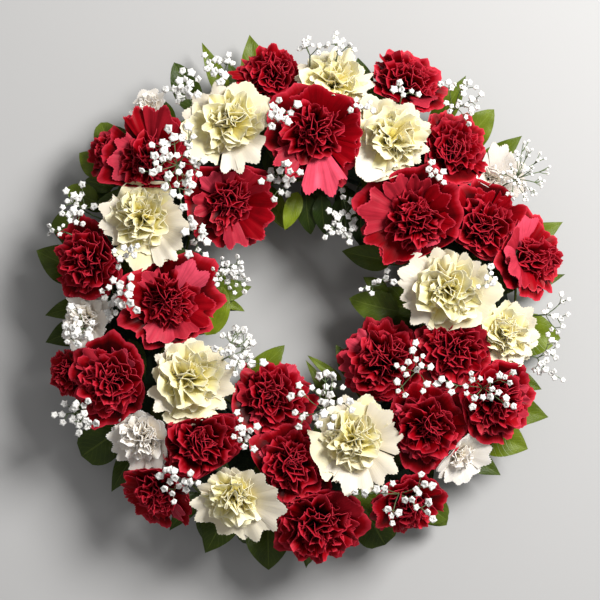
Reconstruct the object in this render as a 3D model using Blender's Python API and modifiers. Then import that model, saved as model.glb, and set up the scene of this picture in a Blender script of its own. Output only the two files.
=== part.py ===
"""A round wreath of fresh carnations on a ring of floral foam in a plastic tray.

Leaf sprigs stand out at both edges, and sprays of gypsophila rise between the flowers.
Metres, +Z up. The origin is on the ring's axis, on the surface that the tray stands on.
"""
import math
from typing import NamedTuple

import bmesh
import bpy
import numpy as np

# The tray and the foam ring
TRAY_ACROSS = 0.355
TRAY_WIDTH = 0.065
TRAY_HEIGHT = 0.012
TRAY_WALL = 0.002
FOAM_HEIGHT = 0.045
FOAM_SHOULDER = 0.010
RING_SEGMENTS = 24
FIT_GAP = 0.0003

# Carnations
CARNATION_ACROSS = 0.075
CALYX_LENGTH = 0.016
CALYX_MOUTH_RADIUS = 0.0072
CALYX_BASE_RADIUS = 0.0056
CALYX_ROUNDING = 0.0034
STEM_RADIUS = 0.0022
BARE_STEM = 0.003
STEM_END_UNDER_TOP = 0.020
FLOWER_OVERHANG = 0.042
MOUND_FALL = 0.45
PETAL_GAP = 0.0004
GUARD_PETALS = 5
UNDER_SHARE = 0.40
HEAD_SPIN = 0.8
# The mound is level over this share of the foam's half width, and every stem goes in there
FLAT_SHARE = 0.6
NEIGHBOUR_REACH = 2.5
PLANE_STEPS = 24

# Petal rows up the head, in shares of its radius: distance out, then up from the centre
UNDER_ROW = (0.58, -0.20)
GUARD_ROW = (1.16, -0.06)
FOLD_ROW = (0.68, 0.04)
TUFT_ROW = (0.76, 0.36)
CREST_ROW = (0.36, 0.66)
DIMPLE_ROW = (0.0, 0.48)
GUARD_NOTCH = 0.16
TUFT_NOTCH = 0.14
FLUTTER_TURN = 2.3
FLUTTER_SHIFT = 1.7

# Leaves
LEAF_THICKNESS = 0.0013
LEAF_FOLD = 0.22
LEAF_ARCH = 0.05
LEAF_STATIONS = ((0.18, 0.70), (0.48, 1.0), (0.80, 0.54))
LEAF_LOW_LEVEL = 0.019
LEAF_LEVEL_STEP = 0.009
SPRIG_STEM_RADIUS = 0.0012
SPRIG_OFFSET = 0.009
SPRIG_DEPTH = 0.014
STEM_OVERRUN = 1.0
LEAF_SLOPES = (0.08, 0.22)

# Gypsophila
SPRAY_STEM_RADIUS = 0.0010
TWIG_RADIUS = 0.0006
FLORET_RADIUS = 0.0042
SPRAY_CLEARANCE = 0.004
BRANCH_STEP = 0.003
OPEN_AIR_HEIGHT = 0.070
DOME_SHARE = 0.68
SOCKET_OVERRUN = 1.3

TRAY_OUTER = TRAY_ACROSS / 2
TRAY_INNER = TRAY_OUTER - TRAY_WIDTH
RING_MIDDLE = (TRAY_OUTER + TRAY_INNER) / 2
FOAM_OUTER = TRAY_OUTER - TRAY_WALL - FIT_GAP
FOAM_INNER = TRAY_INNER + TRAY_WALL + FIT_GAP
FOAM_HALF = (FOAM_OUTER - FOAM_INNER) / 2
FOAM_FOOT = TRAY_WALL + FIT_GAP
FOAM_TOP = FOAM_FOOT + FOAM_HEIGHT
STEM_END = FOAM_TOP - STEM_END_UNDER_TOP
MOUND_HALF = TRAY_WIDTH / 2 + FLOWER_OVERHANG


class Bloom(NamedTuple):
    """One carnation: its clock angle, and its place across the mound from -1 inside to 1 outside."""

    kind: str
    degrees: float
    across: float
    size: float
    lean: float
    lift: float = 0.0


class Leaf(NamedTuple):
    """One leaf: the clock angles of its foot and tip, the tip's distance past the stem, its width."""

    foot: float
    tip: float
    reach: float
    width: float


class Spray(NamedTuple):
    """One spray: where its stem leaves the foam, where it tops out, and its florets' places."""

    root: tuple
    top: tuple
    florets: tuple


# Degrees run counter-clockwise from +X, size is a share of CARNATION_ACROSS, lean is outward
BLOOMS = (
    Bloom("crimson", 136, 0.41, 1.00, 14, 0.004),
    Bloom("crimson", 142, 0.80, 0.52, 34),
    Bloom("crimson", 127, -0.58, 0.96, -18),
    Bloom("crimson", 169, 0.48, 0.80, 22, -0.002),
    Bloom("crimson", 181, -0.51, 1.06, -14, 0.004),
    Bloom("crimson", 98, 0.61, 0.72, 26, -0.002),
    Bloom("crimson", 85, -0.10, 1.02, -6, 0.005),
    Bloom("crimson", 64, 0.78, 0.86, 42),
    Bloom("crimson", 45, 0.46, 0.80, 20, -0.002),
    Bloom("crimson", 37, -0.42, 1.05, -12, 0.006),
    Bloom("crimson", 24, 0.28, 0.84, 10, -0.002),
    Bloom("crimson", 12, 0.66, 0.94, 40, 0.002),
    Bloom("crimson", -36, -0.84, 0.94, -22, 0.004),
    Bloom("crimson", -17, -0.22, 0.86, -6),
    Bloom("crimson", -45, 0.00, 0.90, 4, -0.002),
    Bloom("crimson", -27, 0.48, 0.88, 26),
    Bloom("crimson", -62, 0.62, 0.74, 34),
    Bloom("crimson", -86, 0.54, 0.90, 24),
    Bloom("crimson", -93, -0.13, 0.86, -4),
    Bloom("crimson", -107, -0.84, 0.90, -24, 0.003),
    Bloom("crimson", -126, -0.02, 0.84, 2, -0.002),
    Bloom("crimson", -158, 0.35, 0.86, 14),
    Bloom("crimson", -163, 0.80, 0.50, 36),
    Bloom("crimson", -127, 0.76, 0.84, 42),
    Bloom("cream", 113, 0.18, 0.98, 8, 0.003),
    Bloom("cream", 153, 0.01, 1.00, 0, 0.004),
    Bloom("cream", 82, 0.54, 0.84, 22),
    Bloom("cream", 62, 0.10, 0.98, 6, 0.002),
    Bloom("cream", 6, -0.37, 1.03, -10, 0.005),
    Bloom("cream", -9, 0.37, 0.78, 16, -0.002),
    Bloom("cream", -68, -0.29, 1.03, -8, 0.004),
    Bloom("cream", -145, -0.44, 1.02, -12, 0.005),
    Bloom("cream", -108, 0.39, 0.99, 18, 0.002),
    Bloom("white", 33, 0.66, 0.64, 36, -0.002),
    Bloom("white", -44, 0.56, 0.66, 40),
    Bloom("white", -139, 0.38, 0.76, 24, -0.002),
    Bloom("white", -175, 0.49, 0.66, 26, -0.003),
    Bloom("white", 128, 0.86, 0.46, 44, 0.004),
)

# Each sprig is its level, the clock angle where its stem enters the foam, then its leaves
OUTER_SPRIGS = (
    (0, 97, (Leaf(101, 101, 0.049, 0.026), Leaf(106, 107, 0.030, 0.014), Leaf(110, 111, 0.054, 0.016))),
    (1, 117, (Leaf(119, 118, 0.046, 0.024), Leaf(127, 127, 0.040, 0.022), Leaf(132, 133, 0.031, 0.016))),
    (0, 136, (Leaf(140, 138, 0.042, 0.026), Leaf(147, 145, 0.040, 0.020), Leaf(152, 154, 0.036, 0.026))),
    (1, 161, (Leaf(165, 164, 0.036, 0.024), Leaf(172, 169, 0.045, 0.034), Leaf(181, 183, 0.034, 0.018),
              Leaf(187, 189, 0.036, 0.024))),
    (0, 203, (Leaf(207, 206, 0.034, 0.026), Leaf(215, 215, 0.046, 0.036), Leaf(222, 225, 0.046, 0.022))),
    (1, 237, (Leaf(242, 240, 0.040, 0.018), Leaf(250, 249, 0.044, 0.032), Leaf(261, 263, 0.045, 0.038))),
    (0, 267, (Leaf(272, 271, 0.044, 0.018), Leaf(287, 289, 0.036, 0.036), Leaf(301, 303, 0.044, 0.030))),
    (1, 311, (Leaf(317, 319, 0.040, 0.022), Leaf(325, 327, 0.045, 0.036), Leaf(333, 335, 0.047, 0.030),
              Leaf(340, 340, 0.033, 0.018))),
    (0, 348, (Leaf(352, 352, 0.040, 0.036), Leaf(364, 366, 0.043, 0.014), Leaf(374, 377, 0.050, 0.024))),
    (1, 30, (Leaf(36, 37, 0.050, 0.022), Leaf(44, 45, 0.047, 0.028), Leaf(53, 54, 0.053, 0.020),
             Leaf(64, 66, 0.047, 0.022), Leaf(74, 77, 0.029, 0.022))),
)
INNER_SPRIGS = (
    (0, 118, (Leaf(108, 101, 0.043, 0.018), Leaf(86, 76, 0.032, 0.022), Leaf(68, 61, 0.032, 0.020))),
    (1, 33, (Leaf(22, 48, 0.045, 0.022), Leaf(-5, 4, 0.062, 0.034), Leaf(-16, -12, 0.040, 0.020))),
    (1, 150, (Leaf(169, 162, 0.056, 0.020), Leaf(179, 188, 0.052, 0.013), Leaf(184, 200, 0.032, 0.030))),
    (0, -138, (Leaf(-125, -112, 0.062, 0.022), Leaf(-106, -98, 0.052, 0.013), Leaf(-72, -86, 0.056, 0.013),
               Leaf(-56, -51, 0.054, 0.015))),
)
# Each spray is where its stem ends in the foam and where it tops out, then its florets,
# all as clock angles and places across the mound
SPRAYS = (
    Spray((124, 0.08), (128, -0.08), ((130, 0.41), (126, 0.17), (137, 0.02), (129, -0.24), (134, -0.42),
                                      (121, 0.54), (142, 0.30))),
    Spray((178, 0.03), (179, 0.19), ((163, 0.10), (171, 0.28), (176, -0.06), (183, 0.38), (189, 0.58),
                                     (183, 0.68), (187, 0.08))),
    Spray((-30, -0.13), (-30, 0.05), ((-24, -0.58), (-32, -0.30), (-20, -0.14), (-27, 0.20), (-21, 0.44),
                                      (-37, -0.02), (-15, 0.28))),
    Spray((38, 0.30), (34, 0.38), ((36, 0.92), (30, 0.99), (25, 1.02), (27, 0.78), (39, 0.76),
                                   (32, 1.10), (42, 0.52))),
    Spray((288, 0.13), (288, 0.46), ((292, 0.20), (298, 0.42), (304, 0.44), (292, 0.62), (285, 0.30),
                                     (303, 0.24), (301, 0.68))),
    Spray((276, -0.30), (274, -0.62), ((276, -0.98), (286, -0.86), (268, -0.72), (280, -0.58), (296, -0.88),
                                       (289, -0.66), (272, -0.46))),
)

COLOURS = {
    "crimson": ((0.42, 0.006, 0.020), 0.62),
    "cream": ((0.86, 0.80, 0.52), 0.60),
    "white": ((0.84, 0.80, 0.76), 0.60),
    "leaf": ((0.055, 0.130, 0.018), 0.38),
    "gypsophila": ((0.88, 0.88, 0.84), 0.70),
    "foam": ((0.035, 0.085, 0.035), 0.95),
    "tray": ((0.020, 0.060, 0.028), 0.50),
}


def plain_material(name):
    """A Principled material in the piece's plain colour, made once for each name."""
    colour, roughness = COLOURS[name]
    if name in bpy.data.materials:
        return bpy.data.materials[name]
    material = bpy.data.materials.new(name)
    material.use_nodes = True
    shader = material.node_tree.nodes["Principled BSDF"]
    shader.inputs["Base Color"].default_value = (*colour, 1.0)
    shader.inputs["Roughness"].default_value = roughness
    shader.inputs["Metallic"].default_value = 0.0
    material.diffuse_color = (*colour, 1.0)
    return material


def new_collection(name):
    collection = bpy.data.collections.new(name)
    bpy.context.scene.collection.children.link(collection)
    return collection


def add_object(name, mesh, collection, material):
    obj = bpy.data.objects.new(name, mesh)
    collection.objects.link(obj)
    mesh.materials.append(plain_material(material))
    return obj


def polar(radius, degrees, height):
    """A point from its distance to the ring's axis, its clock angle and its height."""
    angle = math.radians(degrees)
    return np.array((radius * math.cos(angle), radius * math.sin(angle), height))


def unit(vector):
    return vector / np.linalg.norm(vector)


def closed_loft(name, rings):
    """Closed mesh through rings of points: a ring of one point is a pole, and a ring may double."""
    body = bmesh.new()
    loops = [[body.verts.new(tuple(point)) for point in ring] for ring in rings]
    for lower, upper in zip(loops, loops[1:]):
        skin_between(body, lower, upper)
    for end in (loops[0], loops[-1]):
        if len(end) > 2:
            body.faces.new(end)
    bmesh.ops.recalc_face_normals(body, faces=body.faces)
    mesh = bpy.data.meshes.new(name)
    body.to_mesh(mesh)
    body.free()
    return mesh


def skin_between(body, lower, upper):
    """Faces between two loops of as many points, of half or double as many, or a loop and a pole."""
    if len(lower) > len(upper):
        lower, upper = upper, lower
    count = len(upper)
    for index in range(count):
        following = (index + 1) % count
        if len(lower) == 1:
            body.faces.new((lower[0], upper[index], upper[following]))
        elif len(lower) == count:
            body.faces.new((lower[index], lower[following], upper[following], upper[index]))
        elif index % 2 == 0:
            half = index // 2
            after = (half + 1) % len(lower)
            before_far = (index - 1) % count
            body.faces.new((lower[half], upper[before_far], upper[index]))
            body.faces.new((lower[half], upper[index], upper[following]))
            body.faces.new((lower[half], upper[following], lower[after]))


def frame_about(axis):
    """Two unit vectors square to an axis and to each other."""
    side = unit(np.cross(axis, (0.0, 0.0, 1.0)) + np.array((1e-9, 0.0, 0.0)))
    return side, np.cross(side, axis)


def ring_points(centre, axis, radii, steps=0.0, spin=0.0):
    """Points round an axis, each at its own radius and its own step along the axis."""
    side, rise = frame_about(axis)
    radii = np.asarray(radii, dtype=float)
    steps = np.broadcast_to(steps, radii.shape)
    turns = spin + np.arange(len(radii)) * 2 * math.pi / len(radii)
    flat = np.outer(np.cos(turns) * radii, side) + np.outer(np.sin(turns) * radii, rise)
    return centre + flat + np.outer(steps, axis)


def turned_ring(name, profile, collection, material):
    """A closed profile of (radius, height) points, turned about the ring's axis with Screw."""
    mesh = bpy.data.meshes.new(name)
    corners = [(radius, 0.0, height) for radius, height in profile]
    edges = [(index, (index + 1) % len(profile)) for index in range(len(profile))]
    mesh.from_pydata(corners, edges, [])
    obj = add_object(name, mesh, collection, material)
    screw = obj.modifiers.new("Turn", "SCREW")
    screw.steps = RING_SEGMENTS
    screw.render_steps = RING_SEGMENTS
    screw.use_merge_vertices = True
    screw.merge_threshold = 0.00001
    return obj


def build_tray(collection):
    """A channel with a flat underside that the foam sits in."""
    profile = (
        (TRAY_OUTER, TRAY_HEIGHT),
        (TRAY_OUTER, 0.0),
        (TRAY_INNER, 0.0),
        (TRAY_INNER, TRAY_HEIGHT),
        (TRAY_INNER + TRAY_WALL, TRAY_HEIGHT),
        (TRAY_INNER + TRAY_WALL, TRAY_WALL),
        (TRAY_OUTER - TRAY_WALL, TRAY_WALL),
        (TRAY_OUTER - TRAY_WALL, TRAY_HEIGHT),
    )
    return turned_ring("base_tray", profile, collection, "tray")


def foam_profile():
    """The foam's section: square below, with its two upper edges bevelled."""
    return (
        (FOAM_OUTER - FOAM_SHOULDER, FOAM_TOP),
        (FOAM_OUTER, FOAM_TOP - FOAM_SHOULDER),
        (FOAM_OUTER, FOAM_FOOT),
        (FOAM_INNER, FOAM_FOOT),
        (FOAM_INNER, FOAM_TOP - FOAM_SHOULDER),
        (FOAM_INNER + FOAM_SHOULDER, FOAM_TOP),
    )


class Placed(NamedTuple):
    """A carnation in place: its centre, the way it faces, its radius, and its stem's two ends."""

    bloom: Bloom
    centre: np.ndarray
    facing: np.ndarray
    radius: float
    neck: np.ndarray
    root: np.ndarray


def place_bloom(bloom):
    """Works out a flower's stem, calyx and centre from its clock angle and its place across."""
    radius = bloom.size * CARNATION_ACROSS / 2
    lean = math.radians(bloom.lean)
    outward = polar(1.0, bloom.degrees, 0.0)
    facing = outward * math.sin(lean) + np.array((0.0, 0.0, math.cos(lean)))
    standoff = CALYX_LENGTH + UNDER_SHARE * radius
    offset = bloom.across * MOUND_HALF - standoff * math.sin(lean)
    flat_half = FLAT_SHARE * FOAM_HALF
    fall = MOUND_FALL * max(0.0, abs(offset) - flat_half)
    neck_height = FOAM_TOP + BARE_STEM - fall + bloom.lift
    neck = polar(RING_MIDDLE + offset, bloom.degrees, neck_height)
    root_offset = max(-flat_half, min(flat_half, FLAT_SHARE * offset))
    root = polar(RING_MIDDLE + root_offset, bloom.degrees, STEM_END)
    return Placed(bloom, neck + facing * standoff, facing, radius, neck, root)


def head_rings(placed, index):
    """The head's rings about its centre, from the calyx mouth up to the dimple in the tuft.

    Guard petals are broad fans with notches between, and the rows above stand in steps.
    Every other point of a full row is a notch, and a sine of the point's number flutters the rims.
    """
    fans = np.arange(GUARD_PETALS)
    turns = np.arange(2 * GUARD_PETALS)
    notch = turns % 2
    flutter = np.sin(turns * FLUTTER_TURN + index * FLUTTER_SHIFT)
    rows = (
        (UNDER_ROW, 0.0 * fans, 0.0 * fans),
        (GUARD_ROW, 0.04 * flutter - GUARD_NOTCH * notch, 0.10 * flutter - 0.06 * notch),
        (FOLD_ROW, 0.05 * notch, 0.04 * flutter),
        (TUFT_ROW, -TUFT_NOTCH * notch, 0.08 * notch - 0.06 * flutter),
        (CREST_ROW, 0.0 * fans, 0.05 * flutter[:GUARD_PETALS]),
        (DIMPLE_ROW, np.zeros(1), np.zeros(1)),
    )
    centre = np.zeros(3)
    spin = HEAD_SPIN * index
    return [
        ring_points(centre, placed.facing, placed.radius * (out + vary), placed.radius * (up + rise), spin)
        for (out, up), vary, rise in rows
    ]


def nearest_on_line(point, start, end):
    along = end - start
    share = np.clip((point - start) @ along / max(along @ along, 1e-12), 0.0, 1.0)
    return start + share * along


def plane_before(centre, points, thickness):
    """A plane between a flower's centre and a cluster of points, as its normal and its distance.

    The nearest point of the cluster's hull is approached by steps toward its nearest corner.
    """
    nearest = points.mean(axis=0)
    for _ in range(PLANE_STEPS):
        corner = points[np.argmin(points @ (nearest - centre))]
        if np.allclose(corner, nearest):
            break
        nearest = nearest_on_line(centre, nearest, corner)
    normal = unit(nearest - centre)
    distance = float(np.min((points - centre) @ normal))
    return normal, distance - thickness - PETAL_GAP


def neighbour_planes(placed, others):
    """Planes shared with the flowers round about, nearer to the smaller one, as petals press."""
    planes = []
    for other in others:
        apart = other.centre - placed.centre
        length = np.linalg.norm(apart)
        distance = (length**2 + placed.radius**2 - other.radius**2) / (2 * length)
        planes.append((apart / length, distance - PETAL_GAP / 2))
        mouth = other.neck + other.facing * CALYX_LENGTH
        planes.append(plane_before(placed.centre, np.array((mouth, other.neck)), CALYX_MOUTH_RADIUS))
        planes.append(plane_before(placed.centre, np.array((other.neck, other.root)), STEM_RADIUS))
    return planes


def pressed(points, planes):
    """Pulls each point straight toward the flower's centre until it is behind every plane."""
    normals = np.array([normal for normal, _ in planes])
    distances = np.array([distance for _, distance in planes])
    reach = points @ normals.T
    shares = np.where(reach > distances, distances / np.maximum(reach, 1e-9), 1.0)
    return points * shares.min(axis=1)[:, None]


def build_carnation(name, placed, index, planes, collection):
    """One flower: petals pressed by what is round it, calyx, and stem down into the foam."""
    spin = HEAD_SPIN * index
    head = [placed.centre + pressed(ring, planes) for ring in head_rings(placed, index)]
    sides = GUARD_PETALS
    mouth = placed.neck + placed.facing * CALYX_LENGTH
    below = placed.neck + placed.facing * CALYX_ROUNDING
    stem_way = unit(placed.neck - placed.root)
    rings = [
        ring_points(placed.root, stem_way, np.full(sides, STEM_RADIUS), 0.0, spin),
        ring_points(placed.neck, unit(placed.facing + stem_way), np.full(sides, STEM_RADIUS), 0.0, spin),
        ring_points(below, placed.facing, np.full(sides, CALYX_BASE_RADIUS), 0.0, spin),
        ring_points(mouth, placed.facing, np.full(sides, CALYX_MOUTH_RADIUS), 0.0, spin),
        *head,
    ]
    return add_object(name, closed_loft(name, rings), collection, placed.bloom.kind)


class Sprig(NamedTuple):
    """A leaf sprig's stem points and its leaves, each leaf as the rings of its loft."""

    stem: np.ndarray
    leaves: tuple


def leaf_rings(foot, tip, width):
    """A pointed blade from foot to tip, arched along its length and folded up from its midrib."""
    arch = LEAF_ARCH * np.linalg.norm(tip - foot)
    across = unit(np.cross(tip - foot, (0.0, 0.0, 1.0)))
    thick = np.array((0.0, 0.0, LEAF_THICKNESS / 2))
    rings = [foot[None, :]]
    for share, breadth in LEAF_STATIONS:
        half = breadth * width / 2
        middle = foot + share * (tip - foot)
        middle[2] += arch * 4 * share * (1 - share)
        edge_rise = np.array((0.0, 0.0, LEAF_FOLD * half))
        rings.append(np.array((
            middle - across * half + edge_rise,
            middle + thick,
            middle + across * half + edge_rise,
            middle - thick,
        )))
    rings.append(tip[None, :])
    return rings


def place_sprig(row, wall, outward):
    """Works out one sprig: its stem leaves the foam's wall and bends round along it.

    wall is the foam's radius there, and outward is 1 for the outer wall, -1 for the inner one.
    """
    level, entry, leaves = row
    height = LEAF_LOW_LEVEL + level * LEAF_LEVEL_STEP
    along = wall + outward * SPRIG_OFFSET
    overrun = STEM_OVERRUN if leaves[-1].foot > entry else -STEM_OVERRUN
    stem = [
        polar(wall - outward * SPRIG_DEPTH, entry, height),
        polar(wall + outward * SPRIG_OFFSET / 2, entry, height),
    ]
    stem += [polar(along, leaf.foot, height) for leaf in leaves]
    stem.append(polar(along, leaves[-1].foot + overrun, height))
    blades = []
    for leaf in leaves:
        foot = polar(along, leaf.foot, height)
        tip = polar(along + outward * leaf.reach, leaf.tip, height + LEAF_SLOPES[level] * leaf.reach)
        blades.append(leaf_rings(foot, tip, leaf.width))
    return Sprig(np.array(stem), tuple(blades))


class Stalk(NamedTuple):
    """A gypsophila spray's stem, from root to top, and its twigs, each from its start to a floret."""

    root: np.ndarray
    top: np.ndarray
    twigs: tuple


def across_point(degrees, across, height):
    return polar(RING_MIDDLE + across * MOUND_HALF, degrees, height)


def cover_height(point, placed):
    """How high the flowers reach at a point in plan, taking each as a low dome."""
    height = OPEN_AIR_HEIGHT
    for flower in placed:
        share = np.linalg.norm(point[:2] - flower.centre[:2]) / flower.radius
        if share < 1.0:
            dome = DOME_SHARE * flower.radius * math.sqrt(1 - share**2)
            height = max(height, flower.centre[2] + dome)
    return height


def place_stalk(spray, placed):
    """Works out one spray: its florets clear the flowers below them, its stem stands between."""
    tips = []
    for degrees, across in spray.florets:
        tip = across_point(degrees, across, 0.0)
        tip[2] = cover_height(tip, placed) + SPRAY_CLEARANCE + FLORET_RADIUS
        tips.append(tip)
    root = across_point(*spray.root, STEM_END)
    top = across_point(*spray.top, 0.0)
    top[2] = max(cover_height(top, placed), max(tip[2] for tip in tips)) + FLORET_RADIUS
    upward = unit(top - root)
    twigs = [(top - upward * BRANCH_STEP * (count + 2), tip) for count, tip in enumerate(tips)]
    return Stalk(root, top, tuple(twigs))


def floret_rings(start, tip, stem_radius, sides):
    """A twig that ends in a floret: two thin rings, one wide one and a point."""
    way = unit(tip - start)
    thin = np.full(sides, stem_radius)
    neck = tip - way * FLORET_RADIUS
    return [
        ring_points(start, way, thin),
        ring_points(neck, way, thin),
        ring_points(tip, way, np.full(sides, FLORET_RADIUS)),
        (tip + way * FLORET_RADIUS)[None, :],
    ]


def stem_object(name, points, collection):
    """A sprig's stem along points, from a bevelled curve whose caps are welded, as a mesh object."""
    curve = bpy.data.curves.new(name, "CURVE")
    curve.dimensions = "3D"
    curve.bevel_depth = SPRIG_STEM_RADIUS
    curve.bevel_resolution = 0
    curve.use_fill_caps = True
    spline = curve.splines.new("POLY")
    spline.points.add(len(points) - 1)
    for spot, point in zip(spline.points, points):
        spot.co = (*point, 1.0)
    guide = bpy.data.objects.new(name + "_guide", curve)
    collection.objects.link(guide)
    mesh = bpy.data.meshes.new_from_object(guide.evaluated_get(bpy.context.evaluated_depsgraph_get()))
    bpy.data.objects.remove(guide)
    body = bmesh.new()
    body.from_mesh(mesh)
    bmesh.ops.remove_doubles(body, verts=body.verts, dist=0.000001)
    bmesh.ops.recalc_face_normals(body, faces=body.faces)
    body.to_mesh(mesh)
    body.free()
    return add_object(name, mesh, collection, "leaf")


def fuse(obj, others, operation):
    """Joins other objects to one, or cuts them from it, and removes them."""
    for other in others:
        modifier = obj.modifiers.new(operation, "BOOLEAN")
        modifier.operation = operation
        modifier.solver = "EXACT"
        modifier.object = other
    mesh = bpy.data.meshes.new_from_object(obj.evaluated_get(bpy.context.evaluated_depsgraph_get()))
    obj.modifiers.clear()
    obj.data = mesh
    for other in others:
        bpy.data.objects.remove(other)


def build_sprig(name, sprig, wreath, cutters):
    """One sprig: its stem and its leaves, fused where each leaf's foot meets the stem."""
    obj = stem_object(name, sprig.stem, wreath)
    blades = [
        add_object(f"{name}_leaf_{count}", closed_loft(name, rings), cutters, "leaf")
        for count, rings in enumerate(sprig.leaves)
    ]
    fuse(obj, blades, "UNION")


def build_stalk(name, stalk, wreath, cutters):
    """One spray: its stem with a floret on top, and its twigs, fused where they branch off."""
    stem = closed_loft(name, floret_rings(stalk.root, stalk.top, SPRAY_STEM_RADIUS, 4))
    obj = add_object(name, stem, wreath, "gypsophila")
    twigs = []
    for count, (start, tip) in enumerate(stalk.twigs):
        twig = closed_loft(name, floret_rings(start, tip, TWIG_RADIUS, 3))
        twigs.append(add_object(f"{name}_twig_{count}", twig, cutters, "gypsophila"))
    fuse(obj, twigs, "UNION")


def socket_cutter(name, deep, mouth, radius, cutters):
    """A square peg that cuts a stem's socket, with a gap all round and under the stem's end."""
    way = unit(mouth - deep)
    reach = (radius + FIT_GAP) / math.cos(math.pi / 4)
    rings = [
        ring_points(deep - way * FIT_GAP, way, np.full(4, reach)),
        ring_points(mouth, way, np.full(4, reach)),
    ]
    return add_object(name, closed_loft(name, rings), cutters, "foam")


def foam_hulls():
    """The foam ring as one convex block for each segment, for keeping petals off it."""
    profile = foam_profile()
    angles = np.linspace(0, 360, RING_SEGMENTS + 1)
    return [
        np.array([polar(radius, angle, height) for radius, height in profile for angle in pair])
        for pair in zip(angles, angles[1:])
    ]


def planes_around(flower, others, hulls, lines):
    """Every plane that a flower's petals stay behind: its neighbours', the foam's and the foliage's."""
    planes = neighbour_planes(flower, others)
    reach = NEIGHBOUR_REACH * flower.radius
    for hull in hulls:
        if np.min(np.linalg.norm(hull - flower.centre, axis=1)) < reach:
            planes.append(plane_before(flower.centre, hull, 0.0))
    for line, thickness in lines:
        if np.linalg.norm(nearest_on_line(flower.centre, *line) - flower.centre) < reach:
            planes.append(plane_before(flower.centre, np.array(line), thickness))
    return planes


def clear_scene():
    for obj in list(bpy.data.objects):
        bpy.data.objects.remove(obj, do_unlink=True)


def build_foam(wreath, cutters, placed, sprigs, stalks):
    """The foam ring with a socket for every stem."""
    foam = turned_ring("foam_ring", foam_profile(), wreath, "foam")
    pegs = [(flower.root, flower.neck, STEM_RADIUS) for flower in placed]
    pegs += [(sprig.stem[0], sprig.stem[1], SPRIG_STEM_RADIUS) for sprig in sprigs]
    for stalk in stalks:
        way = unit(stalk.top - stalk.root)
        mouth = stalk.root + way * (SOCKET_OVERRUN * STEM_END_UNDER_TOP / way[2])
        pegs.append((stalk.root, mouth, SPRAY_STEM_RADIUS))
    pieces = [socket_cutter(f"socket_{count}", *peg, cutters) for count, peg in enumerate(pegs)]
    fuse(foam, pieces, "DIFFERENCE")


def build_wreath():
    clear_scene()
    wreath = new_collection("carnation_wreath")
    cutters = new_collection("cutters")
    placed = [place_bloom(bloom) for bloom in BLOOMS]
    outer = [place_sprig(row, FOAM_OUTER, 1) for row in OUTER_SPRIGS]
    inner = [place_sprig(row, FOAM_INNER, -1) for row in INNER_SPRIGS]
    stalks = [place_stalk(spray, placed) for spray in SPRAYS]
    build_tray(wreath)
    build_foam(wreath, cutters, placed, outer + inner, stalks)
    hulls = foam_hulls()
    hulls += [np.concatenate(rings) for sprig in outer + inner for rings in sprig.leaves]
    lines = [((stalk.root, stalk.top), SPRAY_STEM_RADIUS) for stalk in stalks]
    lines += [((stalk.top, stalk.top), FLORET_RADIUS) for stalk in stalks]
    lines += [(twig, TWIG_RADIUS) for stalk in stalks for twig in stalk.twigs]
    lines += [((tip, tip), FLORET_RADIUS) for stalk in stalks for _, tip in stalk.twigs]
    counts = {}
    for index, flower in enumerate(placed):
        kind = flower.bloom.kind
        counts[kind] = counts.get(kind, 0) + 1
        others = placed[:index] + placed[index + 1:]
        planes = planes_around(flower, others, hulls, lines)
        build_carnation(f"carnation_{kind}_{counts[kind]:02d}", flower, index, planes, wreath)
    for side, sprigs in (("outer", outer), ("inner", inner)):
        for count, sprig in enumerate(sprigs, 1):
            build_sprig(f"leaf_sprig_{side}_{count:02d}", sprig, wreath, cutters)
    for count, stalk in enumerate(stalks, 1):
        build_stalk(f"gypsophila_spray_{count:02d}", stalk, wreath, cutters)


build_wreath()
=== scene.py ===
"""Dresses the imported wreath: petals, leaves, gypsophila, foam and tray, and the stage round it.

Metres, +Z up. The origin is on the ring's axis, on the surface that the tray stands on.
"""

import math
from typing import NamedTuple

import bpy
import numpy as np
from bpy.props import FloatProperty, FloatVectorProperty, PointerProperty
from bpy.types import Operator, Panel, PropertyGroup
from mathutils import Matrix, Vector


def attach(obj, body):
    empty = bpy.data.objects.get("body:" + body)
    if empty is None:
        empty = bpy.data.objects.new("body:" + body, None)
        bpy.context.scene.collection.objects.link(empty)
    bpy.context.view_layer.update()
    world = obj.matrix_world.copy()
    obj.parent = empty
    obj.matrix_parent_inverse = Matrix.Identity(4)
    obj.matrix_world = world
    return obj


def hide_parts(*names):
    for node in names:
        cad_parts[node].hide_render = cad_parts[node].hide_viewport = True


bl_info = {
    "name": "Carnation Wreath",
    "version": (1, 0, 0),
    "blender": (4, 5, 0),
    "location": "3D View > Sidebar > Wreath",
    "description": "Builds the petals, leaves and gypsophila of a flower wreath on its foam ring",
    "category": "Object",
}

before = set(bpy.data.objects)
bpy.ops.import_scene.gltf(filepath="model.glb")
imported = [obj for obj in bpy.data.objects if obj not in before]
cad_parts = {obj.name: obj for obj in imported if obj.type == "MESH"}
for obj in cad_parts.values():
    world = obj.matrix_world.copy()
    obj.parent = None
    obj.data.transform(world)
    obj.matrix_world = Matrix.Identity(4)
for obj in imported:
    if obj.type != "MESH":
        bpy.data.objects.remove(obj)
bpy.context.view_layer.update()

# The ring that the flowers stand in, as the solids have it
TRAY_OUTER = 0.1775
TRAY_INNER = 0.1125
RING_MIDDLE = (TRAY_OUTER + TRAY_INNER) / 2
MOUND_HALF = 0.0745
FOAM_OUTER = 0.1752
FOAM_INNER = 0.1148
FOAM_HALF = (FOAM_OUTER - FOAM_INNER) / 2
FOAM_TOP = 0.0473
STEM_END = 0.0273
FLAT_SHARE = 0.6

# Carnations
CARNATION_ACROSS = 0.075
CALYX_LENGTH = 0.016
CALYX_ROUNDING = 0.0034
CALYX_LIP = 0.002
CALYX_SIDES = 10
STEM_RADIUS = 0.0022
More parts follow.
